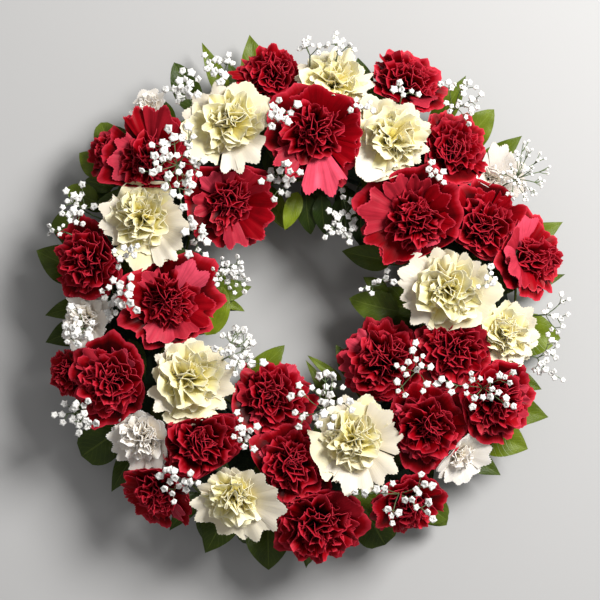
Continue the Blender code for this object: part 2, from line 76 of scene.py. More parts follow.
# The stem's and the calyx's radii from the root up, as multiples of the stem's
STEM_SWELL = (1.0, 1.0, 1.0, 1.9, 2.55, 2.9, 3.27, 2.6)
BARE_STEM = 0.003
MOUND_FALL = 0.45
UNDER_SHARE = 0.40
PRESS_RANGE = 1.4
PRESS_FROM = 0.74
PRESS_TO = 1.05
SHARP_ANGLE = math.radians(58)
GOLDEN_TURN = math.radians(137.5)
HEAD_SEED = 400
SMALL_HEAD = 0.70
SMALL_CROWD = 0.6
# The share of the head's radius where petals leave the calyx
PETAL_FOOT = 0.10
# The share of its length by which a bent petal reaches outward: guards, fans and outer tuft
GUARD_OUTWARD = 0.86
FAN_OUTWARD = 0.88
TUFT_OUTWARD = 0.73
# The power that spaces a petal's rows from its claw to its rim
ROW_POWER = 0.85
GUARDS_IN_RING = 6
FAN_CLEARANCE = math.radians(24)
# How near a pleat's wave comes to a corner at its crests, where 1 is a sharp one
CREASE = 0.95
# Each group's rows and columns in one petal, and the share by which it may pass into a neighbour
UNDER_GROUP = (4, 20, 0.12)
GUARD_GROUP = (5, 32, 0.16)
INNER_GROUP = (5, 24, 0.10)
FAN_GROUP = (6, 34, 0.26)
TUFT_GROUP = (6, 15, 0.05)
WHORL_GROUP = (6, 12, 0.05)
# Each ring of guards: its turn and its petals' last rise in degrees, its share of the ruffle, its tone.
# A lower tone takes more painted shade at the claw, so the ring under the guards is painted darkest.
UNDER_RING = (29, -12, 0.8, 0.10)
GUARD_RING = (0, -3, 0.5, 0.38)
INNER_RING = (31, 12, 0.8, 0.24)
# How far the ring under the guards reaches, where the guards themselves reach 1
UNDER_REACH = 1.08
# A shift is whole from this height up, as a share of the head's radius
SHIFT_HEIGHT = 0.6
WHORL_PETALS = 12
WHORL_PLEATS = (1.0, 2.0)
WHORL_RUFFLE = 1.5
WHORL_STEEPNESS = 50
WHORL_RISE = 0.62
# For each kind: the tuft's petals, the pleats in each, the waves in a guard petal, and how far
# the innermost petals stand up, in degrees past the outermost
HEADS = {
    "crimson": (32, (1.3, 2.7), (1.0, 2.0), 48),
    "cream": (30, (1.0, 2.1), (0.7, 1.5), 40),
    "white": (28, (1.2, 2.4), (0.7, 1.6), 36),
}
# Guards grow to the wide reach where they end over the ring, and to the other beyond its edges
WIDE_REACH = 1.13
EDGE_REACH = 0.92
HOLE_EDGE = 0.098
RIM_EDGE = 0.197

# Leaves
LEAF_LOW_LEVEL = 0.019
LEAF_LEVEL_STEP = 0.009
LEAF_SLOPES = (0.08, 0.22)
LEAF_ROWS = 13
LEAF_COLUMNS = 9
LEAF_WAVE = 0.0011
LEAF_ARCH = 0.05
LEAF_DROOP = 0.04
LEAF_SWAY = 0.03
SPRIG_STEM_RADIUS = 0.0012
SPRIG_STEM_SIDES = 6
SPRIG_OFFSET = 0.009
SPRIG_DEPTH = 0.014
SPRIG_SEED = 60
UNDER_LEAVES = 54
UNDER_LEAF_HEIGHT = 0.054
UNDER_LEAF_RISE = 0.006
UNDER_LEAF_SHIFT = 0.014
UNDER_LEAF_REACH = (0.030, 0.040)
UNDER_LEAF_WIDTH = (0.018, 0.026)
UNDER_LEAF_SEED = 77

# Gypsophila. Beyond the heads its florets hang at the edge height, lower than in the solids
EDGE_SPRAY_HEIGHT = 0.062
DOME_SHARE = 0.68
CROWN_REACH = 0.007
CROWN_SIDES = 8
STEM_INSET = 0.010
# A spray's stem, branches and twigs: bow, rows, radius, sides and tone of each
STEM_FORM = (0.05, 9, 0.0007, 5, 0.4)
BRANCH_FORM = (0.07, 5, 0.00042, 4, 0.5)
TWIG_FORM = (0.08, 4, 0.00034, 4, 0.6)
FORK_SHARE = 0.18
FORK_DROP = 0.002
KNOT_SHARE = 0.25
KNOT_RISE = 0.0015
FLORET_RISE = 0.004
FLORET_SCATTER = 0.006
FLORET_CROWDING = 1.4
FLORETS_IN_CLUMP = 3.6
FLORET_SIDES = 10
# The floret's rings from its foot up, for a floret of radius 1: radius, height and notch depth
FLORET_RADII = np.array((0.28, 1.02, 0.80, 0.36))[None, :, None]
FLORET_HEIGHTS = np.array((-0.75, 0.00, 0.42, 0.20))[None, :, None]
FLORET_NOTCHES = np.array((0.0, 0.24, 0.40, 0.20))[None, :, None]
SPRAY_SEED = 900

# The petals by kind: factors on the kind's colour for its hollow, shaded, crowded and guard places,
# then the colours of the edge and the pale petals, and the gloss, glow and streaks. The hollow,
# shaded and crowded colours are painted shade that deepens toward the claw, and for cream the
# hollow also holds its yellow heart. The edge colour is a painted highlight on the rims. The pale
# colour is painted light on broad fans for crimson, and painted beige shade for cream and white.
PETAL_LOOKS = {
    "crimson": (0.01, 0.06, 0.72, 0.86,
                (0.70, 0.036, 0.068), (0.84, 0.085, 0.150), 0.06, 0.0, 0.95),
    "cream": ((1.0, 0.97, 0.58), (1.0, 0.99, 0.70), (1.0, 1.0, 0.88), (0.94, 0.92, 1.08),
              (0.98, 0.94, 0.70), (0.86, 0.79, 0.66), 0.10, 0.1, 0.15),
    "white": ((1.0, 0.97, 0.86), 1.0, 1.0, 0.95,
              (1.0, 0.98, 0.94), (0.66, 0.60, 0.54), 0.10, 0.1, 0.15),
}
WHITE = (1.0, 1.0, 1.0)
# Where a Mix node has its factor, its two colours and its mixed colour
MIX_INPUTS = (0, 6, 7)
MIX_OUTPUT = 2

# The camera looks straight down, and its picture has this scale at the measured height
CAMERA_HEIGHT = 1.60
MEASURED_HEIGHT = 0.07
METRES_A_PIXEL = 0.00083
PHOTO_WIDTH = 600
RING_PIXEL = (301.5, 302.0)
SENSOR_WIDTH = 36.0
CAMERA_RANGE = 20.0

# The large light at the upper right, the even light and the floor
KEY_PLACE = (1.06, 0.86, 1.40)
KEY_TARGET = (0.0, 0.0, 0.05)
KEY_SIZE = 0.72
KEY_COLOUR = (1.0, 0.985, 0.955)
SKY_COLOUR = (1.0, 0.99, 0.975, 1.0)
FLOOR_HALF = 4.0


class Bloom(NamedTuple):
    """One carnation as in the solids, then its tuft and its broad fans.

    The solids give its kind, its clock angle, its place across the mound and its size as shares of
    the mound's half width and of a full carnation, its lean outward in degrees and its lift in metres.
    The tuft is the share of the head that it fills, and its shift along X and Y in millimetres.
    A fan is its direction in degrees, its reach and width in millimetres and its paleness, which is
    painted light and shade: above 0 it brings the fan toward the pale colour, and below 0 toward the
    dark claw colour.
    """

    kind: str
    degrees: float
    across: float
    size: float
    lean: float
    lift: float = 0.0
    tuft: tuple = (0.8, 0, 0)
    fans: tuple = ()


class Leaf(NamedTuple):
    """One leaf: the clock angles of its foot and tip, its reach past the stem, width, tone, point.
    Its tone, from the dark leaf colour to the light one, is partly its own colour and partly painted
    shade and light: darker for leaves that lie in shade, lighter for lit ones.
    """

    foot: float
    tip: float
    reach: float
    width: float
    tone: float = 0.4
    point: float = 1.15


BLOOMS = (
    Bloom("crimson", 136, 0.41, 1.00, 14, 0.004, (0.60, 0, -8),
          ((68, 42, 34, 0.2), (104, 40, 26, 0.1), (212, 36, 30, 0.5), (162, 31, 24, 0.5))),
    Bloom("crimson", 142, 0.80, 0.52, 34, 0.0, (0.80, 2, 0), ((100, 20, 22, 0.5), (200, 20, 18, 0.1))),
    Bloom("crimson", 127, -0.58, 0.96, -18, 0.0, (0.52, 3, 3),
          ((128, 34, 22, 0.6), (100, 33, 22, 0.4), (8, 40, 36, 0.0), (-34, 41, 36, 0.1),
           (-72, 38, 26, 0.4), (182, 30, 24, 0.3))),
    Bloom("crimson", 169, 0.48, 0.80, 22, -0.002, (0.90, 0, 0),
          ((112, 28, 24, 0.1), (44, 28, 18, 0.3))),
    Bloom("crimson", 181, -0.51, 1.06, -14, 0.004, (0.58, -6, 4),
          ((57, 41, 33, 1.0), (-12, 36, 33, 0.1), (-68, 34, 26, 0.3), (134, 38, 26, 0.4),
           (-114, 38, 30, 0.5))),
    Bloom("crimson", 98, 0.61, 0.72, 26, -0.002, (0.84, 1, 2),
          ((98, 24, 26, 0.2), (150, 27, 12, 0.3), (186, 36, 10, 0.0))),
    Bloom("crimson", 85, -0.10, 1.02, -6, 0.005, (0.68, -3, 4),
          ((-80, 50, 38, 1.0), (-140, 42, 26, 0.4), (8, 40, 28, 0.0), (-28, 40, 26, 0.0))),
    Bloom("crimson", 64, 0.78, 0.86, 42, 0.0, (0.85, -2, 2), ((170, 36, 26, 0.5), (-70, 30, 26, 0.4))),
    Bloom("crimson", 45, 0.46, 0.80, 20, -0.002, (0.78, 0, 0),
          ((-40, 33, 12, -0.4), (110, 28, 26, 0.2))),
    Bloom("crimson", 37, -0.42, 1.05, -12, 0.006, (0.62, 3, -3),
          ((168, 44, 38, 0.3), (206, 42, 34, -0.1), (-114, 43, 34, 0.0), (-72, 32, 38, 0.8),
           (112, 38, 28, 0.3), (76, 37, 24, 0.2), (36, 37, 26, 0.1), (-6, 35, 26, 0.0))),
    Bloom("crimson", 24, 0.28, 0.84, 10, -0.002, (0.78, 1, -6),
          ((95, 27, 24, 0.1), (40, 30, 20, 0.1), (-136, 31, 22, -0.2))),
    Bloom("crimson", 12, 0.66, 0.94, 40, 0.002, (0.50, 14, -6),
          ((104, 34, 36, 0.8), (150, 30, 30, 0.3), (210, 40, 30, 0.5), (182, 33, 22, 0.7),
           (236, 33, 24, 0.2), (-90, 32, 24, 0.1))),
    Bloom("crimson", -36, -0.84, 0.94, -22, 0.004, (0.82, 1, -1),
          ((148, 34, 26, 0.6), (184, 36, 24, 0.4), (216, 34, 22, 0.3), (92, 34, 26, -0.4))),
    Bloom("crimson", -17, -0.22, 0.86, -6, 0.0, (0.80, 2, -2),
          ((98, 31, 30, 0.1), (48, 34, 28, 0.2), (12, 34, 24, 0.2), (-26, 31, 24, 0.1))),
    Bloom("crimson", -45, 0.00, 0.90, 4, -0.002, (0.85, 0, 0),
          ((222, 32, 22, 1.0), (150, 33, 12, 0.9), (-88, 30, 26, 0.1))),
    Bloom("crimson", -27, 0.48, 0.88, 26, 0.0, (0.80, -2, 0),
          ((14, 31, 22, 0.5), (-30, 33, 24, 0.4), (-78, 30, 32, 0.3), (-122, 30, 26, 0.1),
           (60, 28, 20, 0.3))),
    Bloom("crimson", -62, 0.62, 0.74, 34, 0.0, (0.80, 0, 0),
          ((2, 24, 24, 0.8), (-60, 25, 26, 0.2), (-120, 27, 24, 0.1), (52, 33, 20, 0.1))),
    Bloom("crimson", -86, 0.54, 0.90, 24, 0.0, (0.85, 0, -2),
          ((200, 34, 24, 0.1), (-110, 26, 22, 0.3), (4, 34, 24, -0.3))),
    Bloom("crimson", -93, -0.13, 0.86, -4, 0.0, (0.78, -2, 2),
          ((166, 30, 20, 0.6), (206, 33, 22, 0.2), (20, 30, 24, 0.0))),
    Bloom("crimson", -107, -0.84, 0.90, -24, 0.003, (0.80, -2, 1),
          ((84, 31, 26, 0.6), (52, 33, 24, 0.5), (150, 34, 26, 0.3), (178, 34, 22, 0.2),
           (232, 30, 14, 0.5))),
    Bloom("crimson", -126, -0.02, 0.84, 2, -0.002, (1.00, 0, 0), ()),
    Bloom("crimson", -158, 0.35, 0.86, 14, 0.0, (0.80, 1, -2),
          ((56, 30, 24, 0.7), (130, 32, 28, 0.3), (206, 30, 24, 0.5), (-64, 30, 26, 0.2))),
    Bloom("crimson", -163, 0.80, 0.50, 36, 0.0, (0.80, 0, 0),
          ((150, 19, 22, 0.0), (-110, 20, 20, 0.0))),
    Bloom("crimson", -127, 0.76, 0.84, 42, 0.0, (0.62, 3, 2),
          ((150, 31, 20, 0.0), (184, 30, 12, 0.1), (216, 31, 26, 0.0), (-104, 27, 34, 0.0),
           (-42, 31, 18, 0.6))),
    Bloom("cream", 113, 0.18, 0.98, 8, 0.003, (0.74, 5, 2),
          ((-46, 44, 36, 0.9), (-76, 44, 26, 1.0), (150, 37, 34, 0.9), (8, 34, 26, 0.4),
           (96, 36, 30, 1.0))),
    Bloom("cream", 153, 0.01, 1.00, 0, 0.004, (0.70, -3, 4),
          ((166, 38, 30, 0.9), (-14, 40, 34, 0.7), (-54, 41, 26, 0.8), (200, 33, 22, 0.9),
           (36, 34, 24, 0.6))),
    Bloom("cream", 82, 0.54, 0.84, 22, 0.0, (0.88, 1, -1),
          ((172, 32, 26, 0.7), (-12, 36, 22, 1.0), (100, 27, 30, 0.4))),
    Bloom("cream", 62, 0.10, 0.98, 6, 0.002, (0.74, 5, 1),
          ((-122, 48, 36, 1.0), (-152, 39, 26, 0.9), (62, 34, 36, 0.6), (22, 35, 28, 0.6),
           (-72, 34, 26, 0.7), (-22, 34, 24, 0.6))),
    Bloom("cream", 6, -0.37, 1.03, -10, 0.005, (0.74, 4, -3),
          ((150, 39, 34, 1.0), (182, 37, 26, 1.0), (-130, 39, 30, 1.0), (36, 36, 26, 0.9),
           (100, 33, 32, 0.7))),
    Bloom("cream", -9, 0.37, 0.78, 16, -0.002, (0.76, -2, 1),
          ((52, 30, 28, 0.8), (10, 28, 26, 0.8), (-58, 28, 24, 0.5))),
    Bloom("cream", -68, -0.29, 1.03, -8, 0.004, (0.72, -6, 1),
          ((-96, 45, 34, 1.0), (-48, 41, 30, 0.9), (42, 37, 32, 0.7), (112, 38, 30, 0.8),
           (-128, 38, 26, 0.9), (4, 38, 26, 0.9))),
    Bloom("cream", -145, -0.44, 1.02, -12, 0.005, (0.80, -1, 2),
          ((28, 38, 34, 0.4), (-4, 38, 32, 0.6), (-40, 36, 28, 0.6), (128, 36, 28, 0.9),
           (214, 38, 28, 0.8))),
    Bloom("cream", -108, 0.39, 0.99, 18, 0.002, (0.64, -3, 6),
          ((-6, 42, 36, 0.9), (32, 36, 30, 0.8), (-46, 37, 34, 0.6), (-82, 32, 30, 0.5),
           (186, 38, 30, 0.7), (-126, 31, 30, 0.5), (150, 34, 28, 0.6), (108, 32, 30, 0.7),
           (70, 33, 28, 0.6))),
    Bloom("white", 33, 0.66, 0.64, 36, -0.002, (0.36, -4, -3),
          ((-100, 18, 24, 1.0), (-46, 28, 30, 1.0), (14, 29, 30, 1.0), (72, 29, 28, 1.0),
           (132, 24, 24, 1.0))),
    Bloom("white", -44, 0.56, 0.66, 40, 0.0, (0.44, -2, 1),
          ((178, 29, 28, 0.5), (8, 27, 28, 0.0), (-50, 25, 28, 0.1), (-100, 25, 28, 0.3),
           (60, 25, 26, 0.2))),
    Bloom("white", -139, 0.38, 0.76, 24, -0.002, (0.70, -1, 1),
          ((178, 31, 26, 0.1), (214, 29, 24, 0.4), (-60, 29, 24, 0.4), (20, 28, 24, 0.0),
           (96, 28, 28, 0.0), (140, 29, 26, 0.0))),
    Bloom("white", -175, 0.49, 0.66, 26, -0.003, (0.64, -3, 1),
          ((2, 26, 30, 0.2), (-52, 27, 28, 0.5), (-104, 26, 24, 0.4), (60, 26, 24, 0.3))),
    Bloom("white", 128, 0.86, 0.46, 44, 0.004, (0.60, 0, 0), ((120, 18, 24, 0.3),)),
)

# Small whorls beside a tuft: the flower's place in BLOOMS, the shift along X and Y and the radius,
# in millimetres
WHORLS = ((2, -11, -20, 13), (9, 20, 17, 12), (13, -12, 14, 12), (4, 14, -14, 12), (14, 14, -10, 12))

# Each sprig is its level, the clock angle where its stem enters the foam, then its leaves
OUTER_SPRIGS = (
    (0, 97, (Leaf(101, 101, 0.049, 0.026, 0.75), Leaf(106, 107, 0.030, 0.014, 0.2),
             Leaf(110, 111, 0.054, 0.016, 0.85))),
    (1, 117, (Leaf(119, 118, 0.046, 0.024, 0.15, 0.8), Leaf(127, 127, 0.040, 0.022, 0.2),
              Leaf(132, 133, 0.031, 0.016, 0.3))),
    (0, 136, (Leaf(140, 138, 0.042, 0.026, 0.3, 0.8), Leaf(147, 145, 0.040, 0.020, 0.45),
              Leaf(152, 154, 0.036, 0.026, 0.25))),
    (1, 161, (Leaf(165, 164, 0.036, 0.024, 0.3), Leaf(172, 169, 0.045, 0.034, 0.35, 1.0),
              Leaf(181, 183, 0.034, 0.018, 0.3), Leaf(187, 189, 0.036, 0.024, 0.2))),
    (0, 203, (Leaf(207, 206, 0.034, 0.026, 0.15, 0.5), Leaf(215, 215, 0.046, 0.036, 0.2, 0.45),
              Leaf(222, 225, 0.046, 0.022, 0.2))),
    (1, 237, (Leaf(242, 240, 0.040, 0.018, 0.1), Leaf(250, 249, 0.044, 0.032, 0.2, 1.1),
              Leaf(261, 263, 0.045, 0.038, 0.25, 0.95))),
    (0, 267, (Leaf(272, 271, 0.044, 0.018, 0.3), Leaf(287, 289, 0.036, 0.036, 0.2, 0.45),
              Leaf(301, 303, 0.044, 0.030, 0.4, 0.8))),
    (1, 311, (Leaf(317, 319, 0.040, 0.022, 0.25), Leaf(325, 327, 0.045, 0.036, 0.75, 1.05),
              Leaf(333, 335, 0.047, 0.030, 0.6), Leaf(340, 340, 0.033, 0.018, 0.5))),
    (0, 348, (Leaf(352, 352, 0.040, 0.036, 0.8, 1.0), Leaf(364, 366, 0.043, 0.014, 0.3),
              Leaf(374, 377, 0.050, 0.024, 0.7))),
    (1, 30, (Leaf(36, 37, 0.050, 0.022, 0.5), Leaf(44, 45, 0.047, 0.028, 0.7, 0.9),
             Leaf(53, 54, 0.053, 0.020, 0.5), Leaf(64, 66, 0.047, 0.022, 0.7),
             Leaf(74, 77, 0.029, 0.022, 0.2))),
)
INNER_SPRIGS = (
    (0, 118, (Leaf(108, 101, 0.043, 0.018, 0.9, 0.8), Leaf(86, 76, 0.032, 0.022, 0.15),
              Leaf(68, 61, 0.032, 0.020, 0.15))),
    (1, 33, (Leaf(22, 48, 0.045, 0.022, 0.2), Leaf(-5, 4, 0.062, 0.034, 0.3),
             Leaf(-16, -12, 0.040, 0.020, 0.2))),
    (1, 150, (Leaf(169, 162, 0.056, 0.020, 0.5), Leaf(179, 188, 0.052, 0.013, 0.6),
              Leaf(184, 200, 0.032, 0.030, 0.9))),
    (0, -138, (Leaf(-125, -112, 0.062, 0.022, 0.6, 0.7), Leaf(-106, -98, 0.052, 0.013, 0.4),
               Leaf(-72, -86, 0.056, 0.013, 0.7, 1.1), Leaf(-56, -51, 0.054, 0.015, 0.6, 1.1))),
)

# Single leaves pushed in beside the sprigs, near the hole first, then at the lower and the left
# edge: the foot's and the tip's places along X, Y and Z and the width, all in millimetres, then the
# tone and the point. The tone is partly painted shade and light: the raised lit leaf first is at the
# light end, and the leaves near the hole that lie in the heads' shade are near the dark end.
SINGLE_LEAVES = (
    ((-3, 92, 62), (-14, 60, 66), 15, 1.0, 0.9),
    ((4, 90, 44), (8, 57, 38), 18, 0.10, 0.9),
    ((17, 90, 46), (20, 57, 40), 17, 0.05, 0.9),
    ((33, 88, 46), (37, 54, 38), 20, 0.05, 0.9),
    ((50, 80, 46), (52, 46, 38), 20, 0.05, 0.9),
    ((62, 66, 46), (56, 34, 38), 18, 0.05, 0.9),
    ((76, 34, 50), (34, 43, 46), 22, 0.30, 1.0),
    ((72, 6, 48), (52, 21, 50), 13, 0.40, 1.0),
    ((82, -8, 50), (40, 3, 46), 28, 0.35, 0.9),
    ((72, -12, 44), (51, -22, 40), 17, 0.15, 0.9),
    ((43, -64, 46), (29, -36, 46), 14, 0.25, 1.0),
    ((34, -66, 48), (5, -45, 46), 8, 0.65, 1.0),
    ((-46, -64, 56), (-14, -36, 62), 19, 0.60, 0.9),
    ((-80, -28, 52), (-66, 13, 50), 28, 0.95, 0.7),
    ((-74, 4, 46), (-42, 13, 44), 14, 0.50, 1.0),
    ((-68, 2, 44), (-48, -8, 42), 8, 0.65, 1.0),
    ((8, -196, 34), (6, -224, 26), 14, 0.30, 0.9),
    ((-40, -186, 34), (-50, -206, 26), 20, 0.10, 0.6),
    ((-74, -172, 34), (-81, -206, 26), 26, 0.20, 0.9),
    ((98, -164, 34), (124, -186, 28), 26, 0.35, 0.6),
    ((-158, 124, 46), (-170, 152, 40), 22, 0.40, 0.6),
    ((-163, 108, 46), (-188, 126, 42), 22, 0.55, 0.9),
    ((-158, 97, 46), (-183, 103, 42), 15, 0.30, 0.8),
    ((-172, 84, 46), (-198, 97, 42), 21, 0.55, 0.8),
    ((-188, 70, 46), (-213, 61, 40), 20, 0.45, 0.9),
)

# Sprays in clusters of florets, each its middle and half sizes in millimetres about the ring's
# axis, its floret count before crowding and the size of one in millimetres. The first six take
# the place of the solids' sprays, and the others have none there.
SPRAYS = (
    ((-101, 112, 21, 31, 27, 7.4), (-98, 176, 13, 16, 12, 7.0), (-86, 54, 7, 16, 9, 7.4)),
    ((-150, 3, 17, 14, 16, 7.4), (-140, 37, 8, 10, 6, 6.6), (-184, -22, 12, 18, 12, 6.8)),
    ((92, -56, 22, 20, 12, 6.4), (146, -70, 32, 16, 16, 6.4), (66, 15, 14, 12, 6, 6.2)),
    ((184, 106, 20, 27, 42, 3.5), (132, 168, 17, 20, 18, 5.6), (108, 103, 10, 7, 5, 6.0)),
    ((80, -159, 32, 21, 16, 6.8), (-47, -106, 8, 14, 10, 6.6), (154, 19, 8, 8, 5, 6.0)),
    ((16, -80, 23, 23, 22, 7.2), (-52, -40, 14, 21, 22, 7.6)),
)
MORE_SPRAYS = (
    ((-68, 196, 12, 14, 11, 6.8), (-16, 152, 11, 14, 8, 7.2)),
    ((7, 211, 10, 6, 7, 5.0), (32, 212, 13, 6, 9, 5.2), (50, 158, 8, 4, 5, 5.6),
     (84, 173, 7, 5, 4, 6.4)),
    ((33, 69, 12, 21, 18, 6.6), (-16, 100, 10, 14, 12, 7.0)),
    ((-188, 78, 12, 14, 14, 6.6), (-204, 62, 6, 10, 4, 4.6)),
    ((-58, 24, 13, 14, 26, 5.0),),
    ((-186, -92, 15, 15, 16, 6.6),),
    ((-102, -148, 13, 19, 11, 7.2),),
    ((204, -50, 10, 19, 12, 6.0), (211, -14, 12, 16, 10, 5.2)),
)


def unit(vectors):
    """Vectors divided by their own lengths."""
    return vectors / np.maximum(np.linalg.norm(vectors, axis=-1, keepdims=True), 1e-12)


def polar(radius, degrees, height):
    """A point from its distance to the ring's axis, its clock angle and its height."""
    angle = math.radians(degrees)
    return np.array((radius * math.cos(angle), radius * math.sin(angle), height))


class Placed(NamedTuple):
    """A carnation in place, as the solids have it."""

    bloom: Bloom
    centre: np.ndarray
    facing: np.ndarray
    radius: float
    neck: np.ndarray
    root: np.ndarray


def place_bloom(bloom):
    """The flower's stem, calyx and centre: its neck is on the mound, its head one calyx above."""
    radius = bloom.size * CARNATION_ACROSS / 2
    lean = math.radians(bloom.lean)
    facing = polar(1.0, bloom.degrees, 0.0) * math.sin(lean) + np.array((0.0, 0.0, math.cos(lean)))
    standoff = CALYX_LENGTH + UNDER_SHARE * radius
    offset = bloom.across * MOUND_HALF - standoff * math.sin(lean)
    flat_half = FLAT_SHARE * FOAM_HALF
    fall = MOUND_FALL * max(0.0, abs(offset) - flat_half)
    neck = polar(RING_MIDDLE + offset, bloom.degrees, FOAM_TOP + BARE_STEM - fall + bloom.lift)
    root_offset = max(-flat_half, min(flat_half, FLAT_SHARE * offset))
    root = polar(RING_MIDDLE + root_offset, bloom.degrees, STEM_END)
    return Placed(bloom, neck + facing * standoff, facing, radius, neck, root)


PLACED = [place_bloom(bloom) for bloom in BLOOMS]


def cover_height(points):
    """How high the flowers reach under each point in plan: each is a dome, the highest one counts."""
    centres = np.array([flower.centre for flower in PLACED])
    radii = np.array([flower.radius for flower in PLACED])
    shares = np.linalg.norm(points[:, None, :2] - centres[None, :, :2], axis=2) / radii
    domes = centres[:, 2] + DOME_SHARE * radii * np.sqrt(np.clip(1.0 - shares**2, 0.0, 1.0))
    return np.where(shares < 1.0, domes, EDGE_SPRAY_HEIGHT).max(axis=1)


def crown_height(points):
    """The highest cover at each point or a short way off to every side."""
    turns = np.arange(CROWN_SIDES) * 2 * math.pi / CROWN_SIDES
    aside = CROWN_REACH * np.stack((np.cos(turns), np.sin(turns), np.zeros(CROWN_SIDES)), axis=1)
    near = (points[:, None, :] + aside).reshape(-1, 3)
    around = cover_height(near).reshape(len(points), CROWN_SIDES).max(axis=1)
    return np.maximum(cover_height(points), around)


class Skin:
    """Gathers arrays of grids into one mesh, with a UV place and a tone for every point."""

    def __init__(self):
        self.points = []
        self.corners = []
        self.sizes = []
        self.slots = []
        self.places = []
        self.tones = []
        self.count = 0

    def add_points(self, points, places, tones):
        """Adds points, each with its UV place and its tone."""
        self.points.append(points.reshape(-1, 3))
        self.places.append(np.broadcast_to(places, (*points.shape[:-1], 2)).reshape(-1, 2))
        self.tones.append(np.broadcast_to(tones, points.shape[:-1]).reshape(-1))
        self.count += points[..., 0].size

    def add_faces(self, faces, slot):
        """Adds faces of one material slot, each a row of its corners' point numbers."""
        faces = faces.reshape(-1, faces.shape[-1])
        self.corners.append(faces.reshape(-1))
        self.sizes.append(np.full(len(faces), faces.shape[1]))
        self.slots.append(np.full(len(faces), slot))

    def add_loops(self, points, slot, places, tones):
        """Skins (piece, row, place) points, each row a closed loop, and gives the points' numbers."""
        index = self.count + np.arange(points[..., 0].size).reshape(points.shape[:3])
        around = np.roll(index, -1, axis=2)
        self.add_points(points, places, tones)
        faces = np.stack((index[:, :-1], around[:, :-1], around[:, 1:], index[:, 1:]), axis=-1)
        self.add_faces(faces, slot)
        return index

    def add_tubes(self, points, slot=0, places=0.0, tones=0.0):
        """Closed tubes: an array of (tube, row, side) points, skinned round and capped at both ends."""
        index = self.add_loops(points, slot, places, tones)
        self.add_faces(index[:, 0, ::-1], slot)
        self.add_faces(index[:, -1], slot)

    def add_blades(self, points, thickness, slot=0, places=0.0, tones=0.0):
        """Thin closed blades: (blade, row, column) points, shifted half a thickness both ways.

        The shift is along the cross product of the grid's two directions, and the rows run round
        the front and back in one loop, so only the two ends need strips of their own.
        """
        along = np.gradient(points, axis=1)
        across = np.gradient(points, axis=2)
        shift = unit(np.cross(across, along)) * thickness / 2
        loops = np.concatenate((points + shift, (points - shift)[:, :, ::-1]), axis=2)
        index = self.add_loops(loops, slot, np.concatenate((places, places[:, :, ::-1]), axis=2), tones)
        half = points.shape[2]
        near = index[:, :, :half - 1]
        beyond = index[:, :, 1:half]
        far = index[:, :, :half - 1:-1]
        strips = np.stack((near, beyond, far[:, :, 1:], far[:, :, :-1]), axis=-1)
        self.add_faces(strips[:, 0, :, ::-1], slot)
        self.add_faces(strips[:, -1], slot)

    def make_object(self, name, materials, sharp=SHARP_ANGLE):
        """Makes the gathered mesh an object that rides on the root, its edges sharp past an angle."""
        corners = np.concatenate(self.corners)
        sizes = np.concatenate(self.sizes)
        mesh = bpy.data.meshes.new(name)
        mesh.vertices.add(self.count)
        mesh.vertices.foreach_set("co", np.concatenate(self.points).astype(np.float32).ravel())
        mesh.loops.add(len(corners))
        mesh.loops.foreach_set("vertex_index", corners.astype(np.int32))
        mesh.polygons.add(len(sizes))
        mesh.polygons.foreach_set("loop_start", (np.cumsum(sizes) - sizes).astype(np.int32))
        mesh.polygons.foreach_set("material_index", np.concatenate(self.slots).astype(np.int32))
        mesh.polygons.foreach_set("use_smooth", np.ones(len(sizes), dtype=bool))
        uv = mesh.uv_layers.new(name="Surface")
        uv.uv.foreach_set("vector", np.concatenate(self.places)[corners].astype(np.float32).ravel())
        tone = mesh.attributes.new("tone", "FLOAT", "POINT")
        tone.data.foreach_set("value", np.concatenate(self.tones).astype(np.float32))
        mesh.update(calc_edges=True)
        mesh.validate()
        mesh.set_sharp_from_angle(angle=sharp)
        for material in materials:
            mesh.materials.append(material)
        obj = bpy.data.objects.new(name, mesh)
        bpy.context.scene.collection.objects.link(obj)
        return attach(obj, "root")


def tube_points(paths, radii, sides):
    """Points round centre lines: at each row, a circle square to the line's own direction.

    paths is (tube, row, 3), and radii is broadcast over tubes and rows.
    """
    way = unit(np.gradient(paths, axis=1))
    side = unit(np.cross(way, np.array((0.31, 0.17, 0.93))))
    rise = np.cross(way, side)
    turns = np.arange(sides) * 2 * math.pi / sides
    circle = np.cos(turns)[:, None] * side[:, :, None] + np.sin(turns)[:, None] * rise[:, :, None]
    return paths[:, :, None] + circle * np.broadcast_to(radii, paths.shape[:2])[:, :, None, None]


class Petals(NamedTuple):
    """Arrays that shape a group of petals, one number a petal.

    Its claw stands at foot from the axis and points along azimuth, and it is a fan of that length
    with spread to either side, rising by rise_low at the claw and rise_high at the rim. Ruffle is
    how deep its waves are, gather narrows it, roll and fold turn and crease it along its midline,
    wrap bends it round the head, and tone is its colour together with its painted shade and light:
    low tones take the painted shade at the claw and the painted highlight on the rim, higher ones
    the guard colour and the fans' painted light. Foot, length, ruffle and fold are shares of the
    head's radius, and azimuth, spread, rises and roll are in radians.
    """

    azimuth: np.ndarray
    foot: np.ndarray
    length: np.ndarray
    spread: np.ndarray
    rise_low: np.ndarray
    rise_high: np.ndarray
    ruffle: np.ndarray
    waves: np.ndarray
    gather: np.ndarray
    roll: np.ndarray
    fold: np.ndarray
    wrap: np.ndarray
    tone: np.ndarray


def crease(angle):
    """A wave between -1 and 1 that is nearly straight between its crests, as a pleat is."""
    return np.arcsin(CREASE * np.sin(angle)) / math.asin(CREASE)


